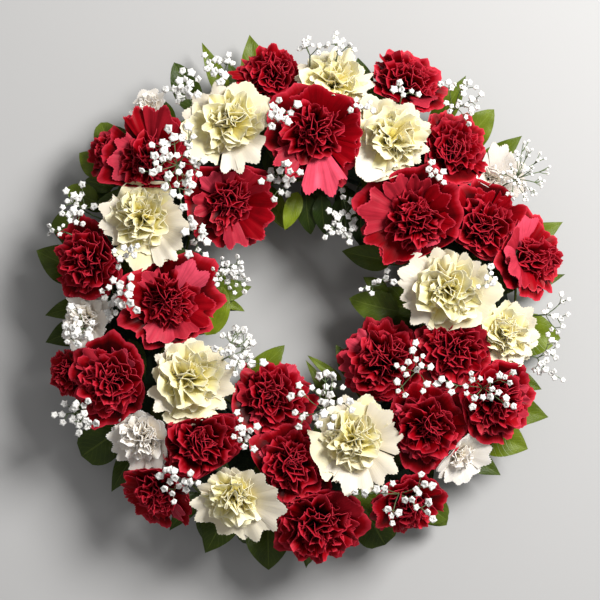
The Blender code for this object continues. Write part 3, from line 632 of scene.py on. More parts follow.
def petal_grid(petals, rows, columns, tooth, chance):
    """Petals as an array of (petal, row, column) points about the calyx mouth, facing up Z.

    A petal is a flat fan, its angle v times spread and its distance u times length from the claw.
    The fan is bent along a line whose rise turns evenly from the low angle to the high one. Pleats
    across it grow with a power of u, a fold lifts both halves by v's size, and a roll turns it about
    its own midline. It wraps a little round the head. Every other rim point is drawn in as a tooth.
    """
    share = (np.linspace(0.0, 1.0, rows) ** ROW_POWER)[None, :, None]
    v = np.linspace(-1.0, 1.0, columns)[None, None, :]
    count = len(petals.azimuth)

    def column(values):
        return np.broadcast_to(values, (count,))[:, None, None]

    phase = column(chance.uniform(0, 2 * math.pi, count))
    second = column(chance.uniform(0, 2 * math.pi, count))
    notches = np.arange(columns) % 2 * chance.uniform(0.35, 1.0, (count, columns))
    lobes = 0.08 * np.sin(2.1 * math.pi * v + second)
    at_rim = np.arange(rows)[None, :, None] == rows - 1
    rim = tooth * at_rim * notches[:, None, :]
    distance = column(petals.length) * (share * (1.0 + lobes * share**2 - 0.10 * v**2 * share**3) - rim)
    angle = column(petals.spread) * v
    along = distance * np.cos(angle)
    beside = distance * np.sin(angle) * column(petals.gather)
    low = column(petals.rise_low)
    turn = column(petals.rise_high - petals.rise_low)
    turn = np.where(np.abs(turn) < 0.01, 0.01, turn)
    rise = low + turn * along / column(petals.length)
    out = column(petals.length) / turn * (np.sin(rise) - np.sin(low))
    up = -column(petals.length) / turn * (np.cos(rise) - np.cos(low))
    wave = crease(math.pi * column(petals.waves) * v + phase + 0.8 * share)
    wave = wave + 0.40 * np.sin(2.3 * math.pi * column(petals.waves) * v + second)
    raised = column(petals.ruffle) * share**1.6 * wave
    raised = raised + column(petals.fold) * np.abs(v) * share**1.3
    raised = raised + beside * np.sin(column(petals.roll))
    beside = beside * np.cos(column(petals.roll))
    out = out - raised * np.sin(rise)
    up = up + raised * np.cos(rise)
    reach = column(petals.foot) + out
    bend = column(petals.wrap) * beside / np.maximum(np.abs(reach), 0.15)
    heading = column(petals.azimuth) + bend
    left = (1.0 - column(petals.wrap)) * beside
    x = reach * np.cos(heading) - left * np.sin(heading)
    y = reach * np.sin(heading) + left * np.cos(heading)
    return np.stack((x, y, up), axis=-1)


def guard_ring(ring, start, reach, ruffle, waves, chance):
    """A ring of broad low petals, each a little off the ring's even spacing, length and rise."""
    turn, rise_high, depth, tone = ring
    count = GUARDS_IN_RING
    uneven = np.arange(count) + chance.uniform(-0.2, 0.2, count)
    azimuth = np.radians(start + turn + 360.0 / count * uneven)
    return Petals(
        azimuth=azimuth,
        foot=np.full(count, PETAL_FOOT),
        length=(reach - PETAL_FOOT) / GUARD_OUTWARD * chance.uniform(0.88, 1.08, count),
        spread=np.radians(35) * chance.uniform(0.85, 1.15, count),
        rise_low=np.radians(48 + chance.uniform(-4, 4, count)),
        rise_high=np.radians(rise_high + chance.uniform(-8, 8, count)),
        ruffle=depth * ruffle * chance.uniform(0.6, 1.3, count),
        waves=chance.uniform(*waves, count),
        gather=np.ones(count),
        roll=np.radians(chance.uniform(-7, 7, count)),
        fold=chance.uniform(-0.02, 0.05, count),
        wrap=np.full(count, 0.15),
        # Chance spreads the tone, so some guards take more painted shade and others more painted light
        tone=tone * chance.uniform(0.3, 1.5, count),
    )


def fan_group(fans, radius, ruffle, waves, chance):
    """The flower's own broad fans, from its table row: direction, reach, width and paleness, the last
    being each fan's painted light and shade.
    """
    fans = np.array(fans)
    count = len(fans)
    length = (fans[:, 1] / 1000 / radius - PETAL_FOOT) / FAN_OUTWARD
    half_width = fans[:, 2] / 2000 / (length * radius)
    return Petals(
        azimuth=np.radians(fans[:, 0]),
        foot=np.full(count, PETAL_FOOT),
        length=length,
        spread=np.arcsin(np.clip(half_width * 1.12, 0.1, 0.88)),
        rise_low=np.full(count, math.radians(52)),
        rise_high=np.radians(8 + chance.uniform(-6, 6, count)),
        ruffle=ruffle * chance.uniform(0.25, 0.60, count),
        waves=chance.uniform(*waves, count),
        gather=np.ones(count),
        roll=np.radians(chance.uniform(-6, 6, count)),
        fold=np.zeros(count),
        wrap=np.full(count, 0.08),
        # Paleness sets the fan's tone: above 0 painted light toward the pale colour, below 0 painted
        # shade
        tone=0.45 + 0.55 * fans[:, 3],
    )


def tuft(count, share, ruffle, pleats, steepness, chance):
    """The crowded petals inside the guards, on a golden-angle spiral from the outside in.

    With p from 0 outside to 1 in the middle, they stand steeper, are gathered narrower and are
    rolled and folded more as p grows.
    """
    number = np.arange(count)
    p = ((number + 0.5) / count) ** 1.4
    azimuth = number * GOLDEN_TURN + chance.uniform(0, 6.28) + chance.uniform(-0.25, 0.25, count)
    length = (1 - p) * (share - PETAL_FOOT) / TUFT_OUTWARD + p * (0.78 + 0.22 * share)
    return Petals(
        azimuth=azimuth,
        foot=PETAL_FOOT - 0.07 * p,
        length=length * chance.uniform(0.82, 1.12, count),
        spread=np.radians(32 - 3 * p) * chance.uniform(0.8, 1.2, count),
        rise_low=np.radians(60 + 37 * p**0.8),
        rise_high=np.radians(20 + steepness * p**0.85 + chance.uniform(-22, 22, count)),
        ruffle=ruffle * (1.45 + 0.35 * p) * chance.uniform(0.7, 1.45, count),
        waves=chance.uniform(*pleats, count),
        gather=1.0 - 0.45 * p,
        roll=np.radians((16 + 40 * p) * chance.uniform(-1, 1, count)),
        fold=(0.06 + 0.26 * p) * chance.uniform(-1, 1, count),
        wrap=0.30 + 0.30 * p,
        tone=chance.uniform(0.0, 0.14, count) + 0.26 * (chance.uniform(0, 1, count) > 0.72),
    )


def neighbour_planes(placed, overlap):
    """Planes between a flower and each flower round it, nearer to the smaller one, as petals press.

    The higher flower's petals may pass the plane by the share overlap, and the lower one's end a
    third of that before it, so the higher ones lie over the lower.
    """
    normals = []
    distances = []
    for other in PLACED:
        apart = other.centre - placed.centre
        length = np.linalg.norm(apart)
        if 0.0 < length < PRESS_RANGE * (placed.radius + other.radius):
            over = overlap if placed.centre[2] > other.centre[2] else -overlap / 3
            normals.append(apart / length)
            middle = (length**2 + placed.radius**2 - other.radius**2) / (2 * length)
            distances.append(middle * (1 + over))
    return np.array(normals), np.array(distances)


def pressed(points, normals, distances):
    """Scales each point toward the flower's centre so that it stays near its own side of each plane.

    Up to PRESS_FROM of the way to a plane nothing moves, and beyond that a hyperbolic tangent
    gathers what would pass it into the last stretch, so no two petals end on one surface.
    """
    share = (points @ normals.T / distances).max(axis=-1)
    span = PRESS_TO - PRESS_FROM
    kept = PRESS_FROM + span * np.tanh((share - PRESS_FROM) / span)
    return points * np.where(share > PRESS_FROM, kept / np.maximum(share, 1e-6), 1.0)[..., None]


def flower_frame(facing):
    """The side, rise and facing axes of a flower, with its side along +X as seen from above."""
    side = unit(np.cross(np.array((0.0, 1.0, 0.0)), facing))
    return np.stack((side, np.cross(facing, side), facing))


def add_petals(skin, placed, petals, group, settings, chance, shift=(0, 0), size=1.0):
    """Puts petals on their flower: sized, turned to face as it does, pressed, and closed as blades.

    A shift in millimetres carries petals aside, more the higher up they are.
    """
    rows, columns, overlap = group
    if not len(petals.azimuth):
        return
    tooth = settings.tooth_depth / placed.radius / size
    local = petal_grid(petals, rows, columns, tooth, chance) * placed.radius * size
    carried = np.clip(local[..., 2:] / placed.radius / SHIFT_HEIGHT, 0.0, 1.0)
    local[..., :2] += np.array(shift) / 1000 * carried
    local[..., 2] += (1.0 - size) * WHORL_RISE * placed.radius - UNDER_SHARE * placed.radius
    offsets = pressed(local @ flower_frame(placed.facing), *neighbour_planes(placed, overlap))
    count = len(petals.azimuth)
    across = np.linspace(0.0, 1.0, columns)[None, None, :] + np.arange(count)[:, None, None]
    along = (np.linspace(0.0, 1.0, rows) ** ROW_POWER)[None, :, None]
    places = np.stack(np.broadcast_arrays(across, along), axis=-1)
    tones = petals.tone[:, None, None]
    skin.add_blades(placed.centre + offsets, settings.petal_thickness, 0, places, tones)


def uncovered(petals, fans):
    """The petals that have no broad fan near them."""
    if not fans:
        return petals
    taken = np.radians([fan[0] for fan in fans])
    apart = np.abs((petals.azimuth[:, None] - taken[None, :] + math.pi) % (2 * math.pi) - math.pi)
    chosen = apart.min(axis=1) > FAN_CLEARANCE
    return Petals(*(values[chosen] for values in petals))


def widened(petals, placed):
    """Guards with their lengths set by where they end: wide over the ring, less beyond its edges."""
    side, rise = flower_frame(placed.facing)[:2]
    ways = np.cos(petals.azimuth)[:, None] * side + np.sin(petals.azimuth)[:, None] * rise
    ends = placed.centre + ways * placed.radius * WIDE_REACH
    apart = np.hypot(ends[:, 0], ends[:, 1])
    over = (apart > HOLE_EDGE) & (apart < RIM_EDGE)
    return petals._replace(length=petals.length * np.where(over, WIDE_REACH, EDGE_REACH))


def add_head(skin, placed, index, settings):
    """The head's petals: two rings of guards with the broad fans, a ring over them, then the tuft."""
    chance = np.random.default_rng(HEAD_SEED + index)
    bloom = placed.bloom
    crowd, pleats, waves, steepness = HEADS[bloom.kind]
    ruffle = settings.ruffle_depth / (CARNATION_ACROSS / 2)
    start = chance.uniform(0, 360)
    if bloom.kind == "crimson":
        below = guard_ring(UNDER_RING, start, UNDER_REACH, ruffle, waves, chance)
        add_petals(skin, placed, widened(below, placed), UNDER_GROUP, settings, chance)
    guards = uncovered(guard_ring(GUARD_RING, start, 1.0, ruffle, waves, chance), bloom.fans)
    add_petals(skin, placed, widened(guards, placed), GUARD_GROUP, settings, chance)
    share, *shift = bloom.tuft
    inner = guard_ring(INNER_RING, start, 0.55 * share + 0.45, ruffle, waves, chance)
    add_petals(skin, placed, uncovered(inner, bloom.fans), INNER_GROUP, settings, chance)
    if bloom.fans:
        fans = fan_group(bloom.fans, placed.radius, ruffle, waves, chance)
        add_petals(skin, placed, fans, FAN_GROUP, settings, chance)
    crowd = round(crowd * (SMALL_CROWD if bloom.size < SMALL_HEAD else 1.0))
    crowded = tuft(crowd, share, ruffle, pleats, steepness, chance)
    add_petals(skin, placed, crowded, TUFT_GROUP, settings, chance, shift)
    for owner, dx, dy, radius in WHORLS:
        if owner == index:
            size = radius / 1000 / placed.radius
            whorl = tuft(WHORL_PETALS, 1.0, WHORL_RUFFLE * ruffle, WHORL_PLEATS, WHORL_STEEPNESS, chance)
            add_petals(skin, placed, whorl, WHORL_GROUP, settings, chance, (dx, dy), size)


def add_calyx(skin, placed):
    """Stem and calyx: circles whose radius steps up from the stem to the mouth and in at the lip."""
    stem_way = unit(placed.neck - placed.root)
    mouth = placed.neck + placed.facing * CALYX_LENGTH
    stations = np.array((
        placed.root,
        placed.root + 0.5 * (placed.neck - placed.root),
        placed.neck - stem_way * STEM_RADIUS,
        placed.neck + placed.facing * CALYX_ROUNDING * 0.4,
        placed.neck + placed.facing * CALYX_ROUNDING,
        placed.neck + placed.facing * CALYX_LENGTH * 0.6,
        mouth,
        mouth + placed.facing * CALYX_LIP,
    ))
    tube = tube_points(stations[None], np.array(STEM_SWELL) * STEM_RADIUS, CALYX_SIDES)
    skin.add_tubes(tube, slot=1, places=np.zeros(2), tones=0.3)


def leaf_places():
    """The UV places of one leaf blade, as (1, row, column)."""
    along = np.linspace(0.0, 1.0, LEAF_ROWS)[None, :, None]
    across = np.linspace(0.0, 1.0, LEAF_COLUMNS)[None, None, :]
    return np.stack(np.broadcast_arrays(across, along), axis=-1)


def leaf_grid(foot, tip, width, point, chance):
    """One leaf blade as (1, row, column) points.

    Its half width is a share s of the way times the rest to a power, so the power sets how pointed
    it is. Both halves fold up from the midrib, the line arches, droops at the tip and waves at the rim.
    """
    share = np.linspace(0.0, 1.0, LEAF_ROWS)[:, None]
    v = np.linspace(-1.0, 1.0, LEAF_COLUMNS)[None, :]
    length = np.linalg.norm(tip - foot)
    profile = share**0.6 * (1.0 - share)**point
    half = width / 2 * profile / profile.max()
    along = unit(tip - foot)
    across = unit(np.cross(along, np.array((0.0, 0.0, 1.0))))
    arch = length * (LEAF_ARCH * 4 * share * (1 - share)) - LEAF_DROOP * length * share**4
    sway = length * LEAF_SWAY * chance.uniform(-1, 1) * 4 * share * (1 - share)
    fold = half * (0.30 * np.abs(v) - 0.16 * v**2)
    ripple = 2 * math.pi * (2.2 * share + chance.uniform(0, 1)) + 1.2 * np.sign(v)
    margin = LEAF_WAVE * v**2 * np.sin(ripple)
    lift = arch + fold + margin * 4 * share * (1 - share)
    points = foot + share[..., None] * (tip - foot)
    points = points + across * (half * v + sway)[..., None]
    points = points + np.array((0.0, 0.0, 1.0)) * lift[..., None]
    return points[None]


def add_sprig(skin, row, wall, outward, index, thickness):
    """A sprig: a stem that leaves the foam's wall and bends round along it, and its leaves."""
    chance = np.random.default_rng(SPRIG_SEED + index)
    level, entry, leaves = row
    height = LEAF_LOW_LEVEL + level * LEAF_LEVEL_STEP
    along = wall + outward * SPRIG_OFFSET
    stem = [
        polar(wall - outward * SPRIG_DEPTH, entry, height),
        polar(wall + outward * SPRIG_OFFSET / 2, entry, height),
    ]
    stem += [polar(along, leaf.foot, height) for leaf in leaves]
    tube = tube_points(np.array(stem)[None], SPRIG_STEM_RADIUS, SPRIG_STEM_SIDES)
    skin.add_tubes(tube, places=np.array((0.5, 0.5)), tones=0.5)
    for leaf in leaves:
        foot = polar(along, leaf.foot, height)
        tip = polar(along + outward * leaf.reach, leaf.tip, height + LEAF_SLOPES[level] * leaf.reach)
        grid = leaf_grid(foot, tip, leaf.width, leaf.point, chance)
        skin.add_blades(grid, thickness, 0, leaf_places(), leaf.tone)


def add_under_leaves(skin, thickness):
    """Leaves that lie on the mound under the heads, evenly round it, and the single ones beside.

    Of every three, one points to the hole, one outward and one along the ring.
    """
    chance = np.random.default_rng(UNDER_LEAF_SEED)
    for number in range(UNDER_LEAVES):
        degrees = 360.0 * number / UNDER_LEAVES + chance.uniform(-3, 3)
        aside = (-1.0, 1.0, 0.2)[number % 3]
        radius = RING_MIDDLE + aside * UNDER_LEAF_SHIFT
        end = radius + aside * chance.uniform(*UNDER_LEAF_REACH)
        foot = polar(radius, degrees, UNDER_LEAF_HEIGHT)
        fall = MOUND_FALL * max(0.0, abs(end - RING_MIDDLE) - FLAT_SHARE * FOAM_HALF)
        turn = chance.uniform(-9, 9) if abs(aside) == 1.0 else chance.choice((-17.0, 17.0))
        tip = polar(end, degrees + turn, UNDER_LEAF_HEIGHT + UNDER_LEAF_RISE - fall)
        grid = leaf_grid(foot, tip, chance.uniform(*UNDER_LEAF_WIDTH), 1.0, chance)
        skin.add_blades(grid, thickness, 0, leaf_places(), chance.uniform(0.05, 0.45))
    for foot, tip, width, tone, point in SINGLE_LEAVES:
        grid = leaf_grid(np.array(foot) / 1000, np.array(tip) / 1000, width / 1000, point, chance)
        skin.add_blades(grid, thickness, 0, leaf_places(), tone)


def floret_grid(centres, sizes, chance):
    """Florets as closed tubes: rings that swell from a foot to a frilled rim and a crumpled top.

    Every other point of a ring is drawn in, each ring's to its own depth, and all points are a
    little off by chance.
    """
    count = len(centres)
    shape = (count, FLORET_RADII.size, FLORET_SIDES)
    turns = np.arange(FLORET_SIDES) * 2 * math.pi / FLORET_SIDES
    drawn = FLORET_NOTCHES * (np.arange(FLORET_SIDES) % 2)
    radii = FLORET_RADII * (chance.uniform(0.84, 1.12, shape) * (1.0 - drawn))
    spin = chance.uniform(0, 2 * math.pi, count)[:, None, None]
    lean = chance.uniform(-0.6, 0.6, (count, 2))
    x = radii * np.cos(turns + spin)
    y = radii * np.sin(turns + spin)
    above_foot = np.arange(FLORET_RADII.size)[None, :, None] > 0
    z = FLORET_HEIGHTS + 0.20 * chance.uniform(-1, 1, shape) * above_foot
    up = unit(np.concatenate((lean, np.ones((count, 1))), axis=1))
    side = unit(np.cross(np.array((0.0, 1.0, 0.0)), up))
    rise = np.cross(up, side)
    offset = x[..., None] * side[:, None, None] + y[..., None] * rise[:, None, None]
    offset = offset + z[..., None] * up[:, None, None]
    return centres[:, None, None] + offset * sizes[:, None, None, None]


def clumped(x, y, half_x, half_y, count, size, chance):
    """Places in an oval as (count, 2), in metres, and the clump of each: clumps on a golden spiral."""
    clumps = max(1, round(count / FLORETS_IN_CLUMP))
    number = np.arange(clumps)
    spread = np.sqrt((number + 0.5) / clumps)
    turn = number * GOLDEN_TURN + chance.uniform(0, 6.28)
    middles = np.stack((x + half_x * spread * np.cos(turn), y + half_y * spread * np.sin(turn)), axis=1)
    middles += chance.uniform(-0.12, 0.12, (clumps, 2)) * (half_x, half_y)
    member = np.arange(count)
    apart = size * np.where(member // clumps == 0, 0.1, chance.uniform(0.8, 1.2, count))
    way = 2.2 * (member // clumps) + chance.uniform(-0.5, 0.5, count) + middles[member % clumps, 0]
    places = middles[member % clumps] + apart[:, None] * np.stack((np.cos(way), np.sin(way)), axis=1)
    return places / 1000, member % clumps


def bowed_paths(starts, ends, bow, rows, chance):
    """Curved lines from starts to ends: straight ones moved aside by a parabola, 0 at both ends."""
    share = np.linspace(0.0, 1.0, rows)[None, :, None]
    paths = starts[:, None] + share * (ends - starts)[:, None]
    length = np.linalg.norm(ends - starts, axis=1)[:, None, None]
    aside = chance.uniform(-1, 1, (len(starts), 1, 3)) * np.array((1.0, 1.0, 0.3))
    return paths + aside * length * bow * 4 * share * (1 - share)


def add_spray(skin, row, index, scale):
    """Clusters: a stem from the foam under each, a fork, a thin branch to each clump, and twigs."""
    chance = np.random.default_rng(SPRAY_SEED + index)
    for x, y, half_x, half_y, count, size in row:
        count = round(count * FLORET_CROWDING)
        within = np.clip(math.hypot(x, y) / 1000, FOAM_INNER + STEM_INSET, FOAM_OUTER - STEM_INSET)
        root = polar(within, math.degrees(math.atan2(y, x)), STEM_END + STEM_INSET)
        places, clump = clumped(x, y, half_x, half_y, count, size, chance)
        tips = np.concatenate((places, np.zeros((count, 1))), axis=1)
        tips[:, 2] = crown_height(tips) + FLORET_RISE + chance.uniform(0.0, FLORET_SCATTER, count)
        sizes = size / 2000 * chance.uniform(0.80, 1.22, count) * scale
        middle = tips.mean(axis=0)
        fork = middle + FORK_SHARE * (root - middle)
        fork[2] = cover_height(fork[None])[0] - FORK_DROP
        first = np.unique(clump, return_index=True)[1]
        knots = tips[first] + KNOT_SHARE * (fork - tips[first])
        knots[:, 2] = np.maximum(knots[:, 2], cover_height(knots) + KNOT_RISE)
        stalks = (
            (root[None], fork[None], STEM_FORM),
            (np.broadcast_to(fork, knots.shape), knots, BRANCH_FORM),
            (knots[clump], tips, TWIG_FORM),
        )
        for starts, ends, (bow, rows, radius, sides, tone) in stalks:
            paths = bowed_paths(starts, ends, bow, rows, chance)
            skin.add_tubes(tube_points(paths, radius, sides), slot=1, places=np.zeros(2), tones=tone)
        bright = chance.uniform(0.0, 1.0, count)[:, None, None]
        skin.add_tubes(floret_grid(tips, sizes, chance), slot=0, places=np.zeros(2), tones=bright)


class Look:
    """A new node material, built up from its Principled shader.

    Its place is the Object coordinates, and its surface is the piece's own UV map.
    """

    def __init__(self, name):
        self.material = bpy.data.materials.new(name)
        self.material.use_nodes = True
        self.tree = self.material.node_tree
        coordinates = self.tree.nodes.new("ShaderNodeTexCoord")
        self.place = coordinates.outputs["Object"]
        self.surface = coordinates.outputs["UV"]

    def feed(self, socket, value):
        """Links a socket to another one, or sets it to a number, a vector or a colour."""
        if isinstance(value, bpy.types.NodeSocket):
            self.tree.links.new(value, socket)
        elif socket.type == "RGBA":
            socket.default_value = (*value[:3], 1.0)
        else:
            socket.default_value = value

    def add(self, kind, values):
        """A new node, with the inputs that the values name linked or set."""
        node = self.tree.nodes.new(kind)
        for name, value in values.items():
            self.feed(node.inputs[name], value)
        return node

    def part(self, axis):
        """How far a point is across the piece's UV map, X, or along it, Y."""
        return self.add("ShaderNodeSeparateXYZ", {"Vector": self.surface}).outputs[axis]

    def stretched(self, scale):
        """The UV map scaled, so that a pattern on it runs lengthwise."""
        return self.add("ShaderNodeMapping", {"Vector": self.surface, "Scale": scale}).outputs["Vector"]

    def tone(self):
        """The tone that the piece's mesh carries at each point."""
        node = self.tree.nodes.new("ShaderNodeAttribute")
        node.attribute_name = "tone"
        return node.outputs["Fac"]

    def noise(self, vector, scale, detail=3.0):
        """Soft noise between 0 and 1."""
        values = {"Vector": vector, "Scale": scale, "Detail": detail}
        return self.add("ShaderNodeTexNoise", values).outputs["Fac"]

    def ramp(self, factor, *stops):
        """A colour ramp from stops, each a position and a colour."""
        node = self.add("ShaderNodeValToRGB", {"Fac": factor})
        elements = node.color_ramp.elements
        while len(elements) < len(stops):
            elements.new(0.5)
        for element, (position, colour) in zip(elements, stops):
            element.position = position
            element.color = (*colour[:3], 1.0)
        return node.outputs["Color"]

    def mix(self, factor, first, second, kind="MIX"):
        """Mixes two colours, each a socket or a plain colour, by a socket or a number."""
        node = self.tree.nodes.new("ShaderNodeMix")
        node.data_type = "RGBA"
        node.blend_type = kind
        for number, value in zip(MIX_INPUTS, (factor, first, second)):
            self.feed(node.inputs[number], value)
        return node.outputs[MIX_OUTPUT]

    def calc(self, operation, first, second=0.0):
        """One sum on two values, each a socket or a number."""
        node = self.tree.nodes.new("ShaderNodeMath")
        node.operation = operation
        for socket, value in zip(node.inputs, (first, second)):
            self.feed(socket, value)
        return node.outputs[0]

    def spread(self, value, low, high):
        """A value from 0 to 1 brought to run from low to high."""
        values = {"Value": value, "To Min": low, "To Max": high}
        return self.add("ShaderNodeMapRange", values).outputs["Result"]

    def bump(self, height, strength, distance):
        """A surface direction that tilts with a height pattern, at a strength and a depth in metres."""
        values = {"Height": height, "Strength": strength, "Distance": distance}
        return self.add("ShaderNodeBump", values).outputs["Normal"]

    def done(self, values):
        """The material, with the shader's own sockets linked or set."""
        for name, value in values.items():
            self.feed(self.tree.nodes["Principled BSDF"].inputs[name], value)
        return self.material


def petal_material(name, colour, heart_colour_and_shade, shaded, crowded, guard, lit_edge, fan_light_and_shade, gloss, glow, streaks):
    """Petal skin, by the way up the petal and by its tone.

    At tone 0 it runs from its hollow colour through the shaded and crowded ones to a bright edge:
    painted shade deep in the head, lifting toward the rim, and a painted highlight on the rim itself.
    At one half it is a guard petal's colour, and at 1 the pale one, painted light on a broad fan
    (painted shade for cream and white). Lengthwise pleats and blotches darken it a little. The first
    four are factors on the petals' colour, edge and pale are colours.
    """
    factors = (heart_colour_and_shade, shaded, crowded, guard)
    heart_colour_and_shade, shaded, crowded, guard = [colour * np.array(factor) for factor in factors]
    look = Look(name)
    along = look.part("Y")
    twice = look.calc("MULTIPLY", look.tone(), 2.0)
    to_guard = look.calc("MINIMUM", twice, 1.0)
    to_fan_light_and_shade = look.calc("MAXIMUM", look.calc("SUBTRACT", twice, 1.0), 0.0)
    pleats = look.noise(look.stretched((30.0, 2.0, 1.0)), 1.0, 2.0)
    blotch = look.noise(look.place, 110.0)
    # Painted shade up the petal from the claw, nearly black in crimson, ending in a painted highlight on
    # the rim
    inner = look.ramp(along, (0.48, heart_colour_and_shade), (0.72, shaded), (0.87, crowded), (1.0, lit_edge))
    # The guards' ramp darkens their claws with painted shade too and ends in the same painted highlight
    outer = look.ramp(along, (0.20, crowded), (0.52, guard), (0.95, guard), (1.0, lit_edge))
    # Tone past one half brings in the fans' painted light, which is painted shade for cream and white
    body = look.mix(to_guard, inner, look.mix(to_fan_light_and_shade, outer, fan_light_and_shade))
    dark = look.ramp(pleats, (0.30, (0.76, 0.72, 0.74)), (0.60, WHITE))
    uneven = look.ramp(blotch, (0.35, (0.84, 0.80, 0.80)), (0.60, WHITE))
    streaked = look.mix(streaks, body, dark, "MULTIPLY")
    return look.done({
        "Base Color": look.mix(streaks, streaked, uneven, "MULTIPLY"),
        "Roughness": 0.40,
        "Specular IOR Level": gloss,
        "Subsurface Weight": glow,
        "Subsurface Radius": (1.0, 0.85, 0.5),
        "Subsurface Scale": 0.003,
        "Normal": look.bump(pleats, 0.35, 0.0005),
    })


def stalk_material(name, dark, light):
    """Green stalk skin: mottled, a little waxy, by its tone from dark to light."""
    look = Look(name)
    mottle = look.noise(look.place, 260.0)
    shade = look.ramp(mottle, (0.3, (0.7, 0.75, 0.7)), (0.7, WHITE))
    return look.done({
        "Base Color": look.mix(1.0, look.mix(look.tone(), dark, light), shade, "MULTIPLY"),
        "Roughness": 0.55,
        "Normal": look.bump(mottle, 0.3, 0.0003),
    })


def leaf_material(name, dark, light):
    """Glossy leaf: a pale midrib, side veins that run up and out from it, and fine lengthwise grain."""
    look = Look(name)
    aside = look.calc("ABSOLUTE", look.calc("SUBTRACT", look.part("X"), 0.5))
    rib = look.calc("LESS_THAN", aside, 0.022)
    climb = look.calc("SUBTRACT", look.part("Y"), look.calc("MULTIPLY", aside, 0.62))
    wave = look.calc("SINE", look.calc("MULTIPLY", climb, 62.0))
    vein = look.calc("POWER", look.calc("MAXIMUM", wave, 0.0), 14.0)
    marks = look.calc("MAXIMUM", rib, look.calc("MULTIPLY", vein, 0.5))
    grain = look.noise(look.stretched((40.0, 3.0, 1.0)), 1.0)
    blotch = look.noise(look.place, 55.0)
    shade = look.ramp(blotch, (0.30, (0.62, 0.66, 0.6)), (0.66, (1.15, 1.12, 1.0)))
    lines = look.ramp(grain, (0.35, (0.82, 0.84, 0.8)), (0.6, WHITE))
    # The tone mixes the dark and light leaf colours; it is partly each leaf's own colour and partly
    # painted shade and light
    base = look.mix(1.0, look.mix(look.tone(), dark, light), shade, "MULTIPLY")
    base = look.mix(0.7, base, lines, "MULTIPLY")
    height = look.calc("ADD", look.calc("MULTIPLY", marks, -1.0), grain)
    return look.done({
        "Base Color": look.mix(look.calc("MULTIPLY", marks, 0.22), base, (0.30, 0.38, 0.07)),
        "Roughness": look.spread(blotch, 0.26, 0.46),
        "Specular IOR Level": 0.30,
        "Normal": look.bump(height, 0.5, 0.0005),
    })


def floret_material(name, colour):
    """White floret: frilled by a fine cellular bump, and a little darker in its hollows, a painted
    shade.
    """
    look = Look(name)
    cells = look.add("ShaderNodeTexVoronoi", {"Vector": look.place, "Scale": 900.0}).outputs["Distance"]
    return look.done({
        # Painted shade: the colour darkens by the cells' distance, the same pattern as the bump
        "Base Color": look.ramp(cells, (0.10, colour), (0.85, 0.86 * colour)),
        "Roughness": 0.9,
        "Specular IOR Level": 0.05,
        "Subsurface Weight": 0.5,
        "Subsurface Radius": (1.0, 1.0, 1.0),
        "Subsurface Scale": 0.0015,
        "Normal": look.bump(cells, 0.5, 0.0005),
    })


def foam_material(name):
    """Wet floral foam: dark green, finely porous, with soft wetter patches."""
    look = Look(name)
    pores = look.noise(look.place, 900.0, 4.0)
    patches = look.noise(look.place, 30.0)
    base = look.ramp(patches, (0.35, (0.012, 0.035, 0.014)), (0.65, (0.026, 0.064, 0.026)))
    shade = look.ramp(pores, (0.35, (0.55, 0.55, 0.55)), (0.6, WHITE))
    return look.done({
        "Base Color": look.mix(1.0, base, shade, "MULTIPLY"),
        "Roughness": 0.82,
        "Normal": look.bump(pores, 0.7, 0.0006),
    })


def tray_material(name):
    """Moulded plastic: dark green, satin, with a fine grain and faint scuffs."""
    look = Look(name)
    grain = look.noise(look.place, 1400.0, 2.0)
    scuffs = look.noise(look.place, 46.0, 5.0)
    return look.done({
        "Base Color": look.ramp(scuffs, (0.40, (0.016, 0.050, 0.024)), (0.72, (0.030, 0.072, 0.038))),
        "Roughness": look.spread(scuffs, 0.38, 0.60),
        "Normal": look.bump(grain, 0.25, 0.0002),
    })


class WreathFlowerSettings(PropertyGroup):
    crimson: FloatVectorProperty(
        name="Crimson", description="Colour of the crimson petals", subtype="COLOR", size=3,
        min=0.0, max=1.0, default=(0.37, 0.0006, 0.006),
    )
    cream: FloatVectorProperty(
        name="Cream", description="Colour of the cream petals", subtype="COLOR", size=3,
        min=0.0, max=1.0, default=(1.0, 0.93, 0.58),
    )
    white: FloatVectorProperty(
        name="White", description="Colour of the white petals", subtype="COLOR", size=3,
        min=0.0, max=1.0, default=(1.0, 0.94, 0.85),
    )
    petal_thickness: FloatProperty(
        name="Petal thickness", description="Thickness of a petal's blade", unit="LENGTH",
        min=0.0001, max=0.001, default=0.00032,
    )
    ruffle_depth: FloatProperty(
        name="Ruffle depth", description="Depth of the ruffles in a full-sized carnation", unit="LENGTH",
        min=0.0, max=0.006, default=0.0022,
    )
    tooth_depth: FloatProperty(
        name="Tooth depth", description="Depth of the notches in a petal's rim", unit="LENGTH",
        min=0.0, max=0.003, default=0.0013,
    )


class WreathFoliageSettings(PropertyGroup):
    # Leaves mix these two by tone, which is partly painted shade and light
    dark_leaf: FloatVectorProperty(
        name="Dark leaf", description="Colour of the darkest leaves", subtype="COLOR", size=3,
        min=0.0, max=1.0, default=(0.018, 0.046, 0.005),
    )
    light_leaf: FloatVectorProperty(
        name="Light leaf", description="Colour of the lightest leaves", subtype="COLOR", size=3,
        min=0.0, max=1.0, default=(0.200, 0.265, 0.012),
    )
    leaf_thickness: FloatProperty(
        name="Leaf thickness", description="Thickness of a leaf's blade", unit="LENGTH",
        min=0.0002, max=0.002, default=0.0006,
    )
    floret: FloatVectorProperty(
        name="Floret", description="Colour of the gypsophila florets", subtype="COLOR", size=3,
        min=0.0, max=1.0, default=(1.0, 0.99, 0.96),
    )
    floret_scale: FloatProperty(
        name="Floret scale", description="Size of the florets against their own", subtype="FACTOR",
        min=0.5, max=1.5, default=1.0,
    )


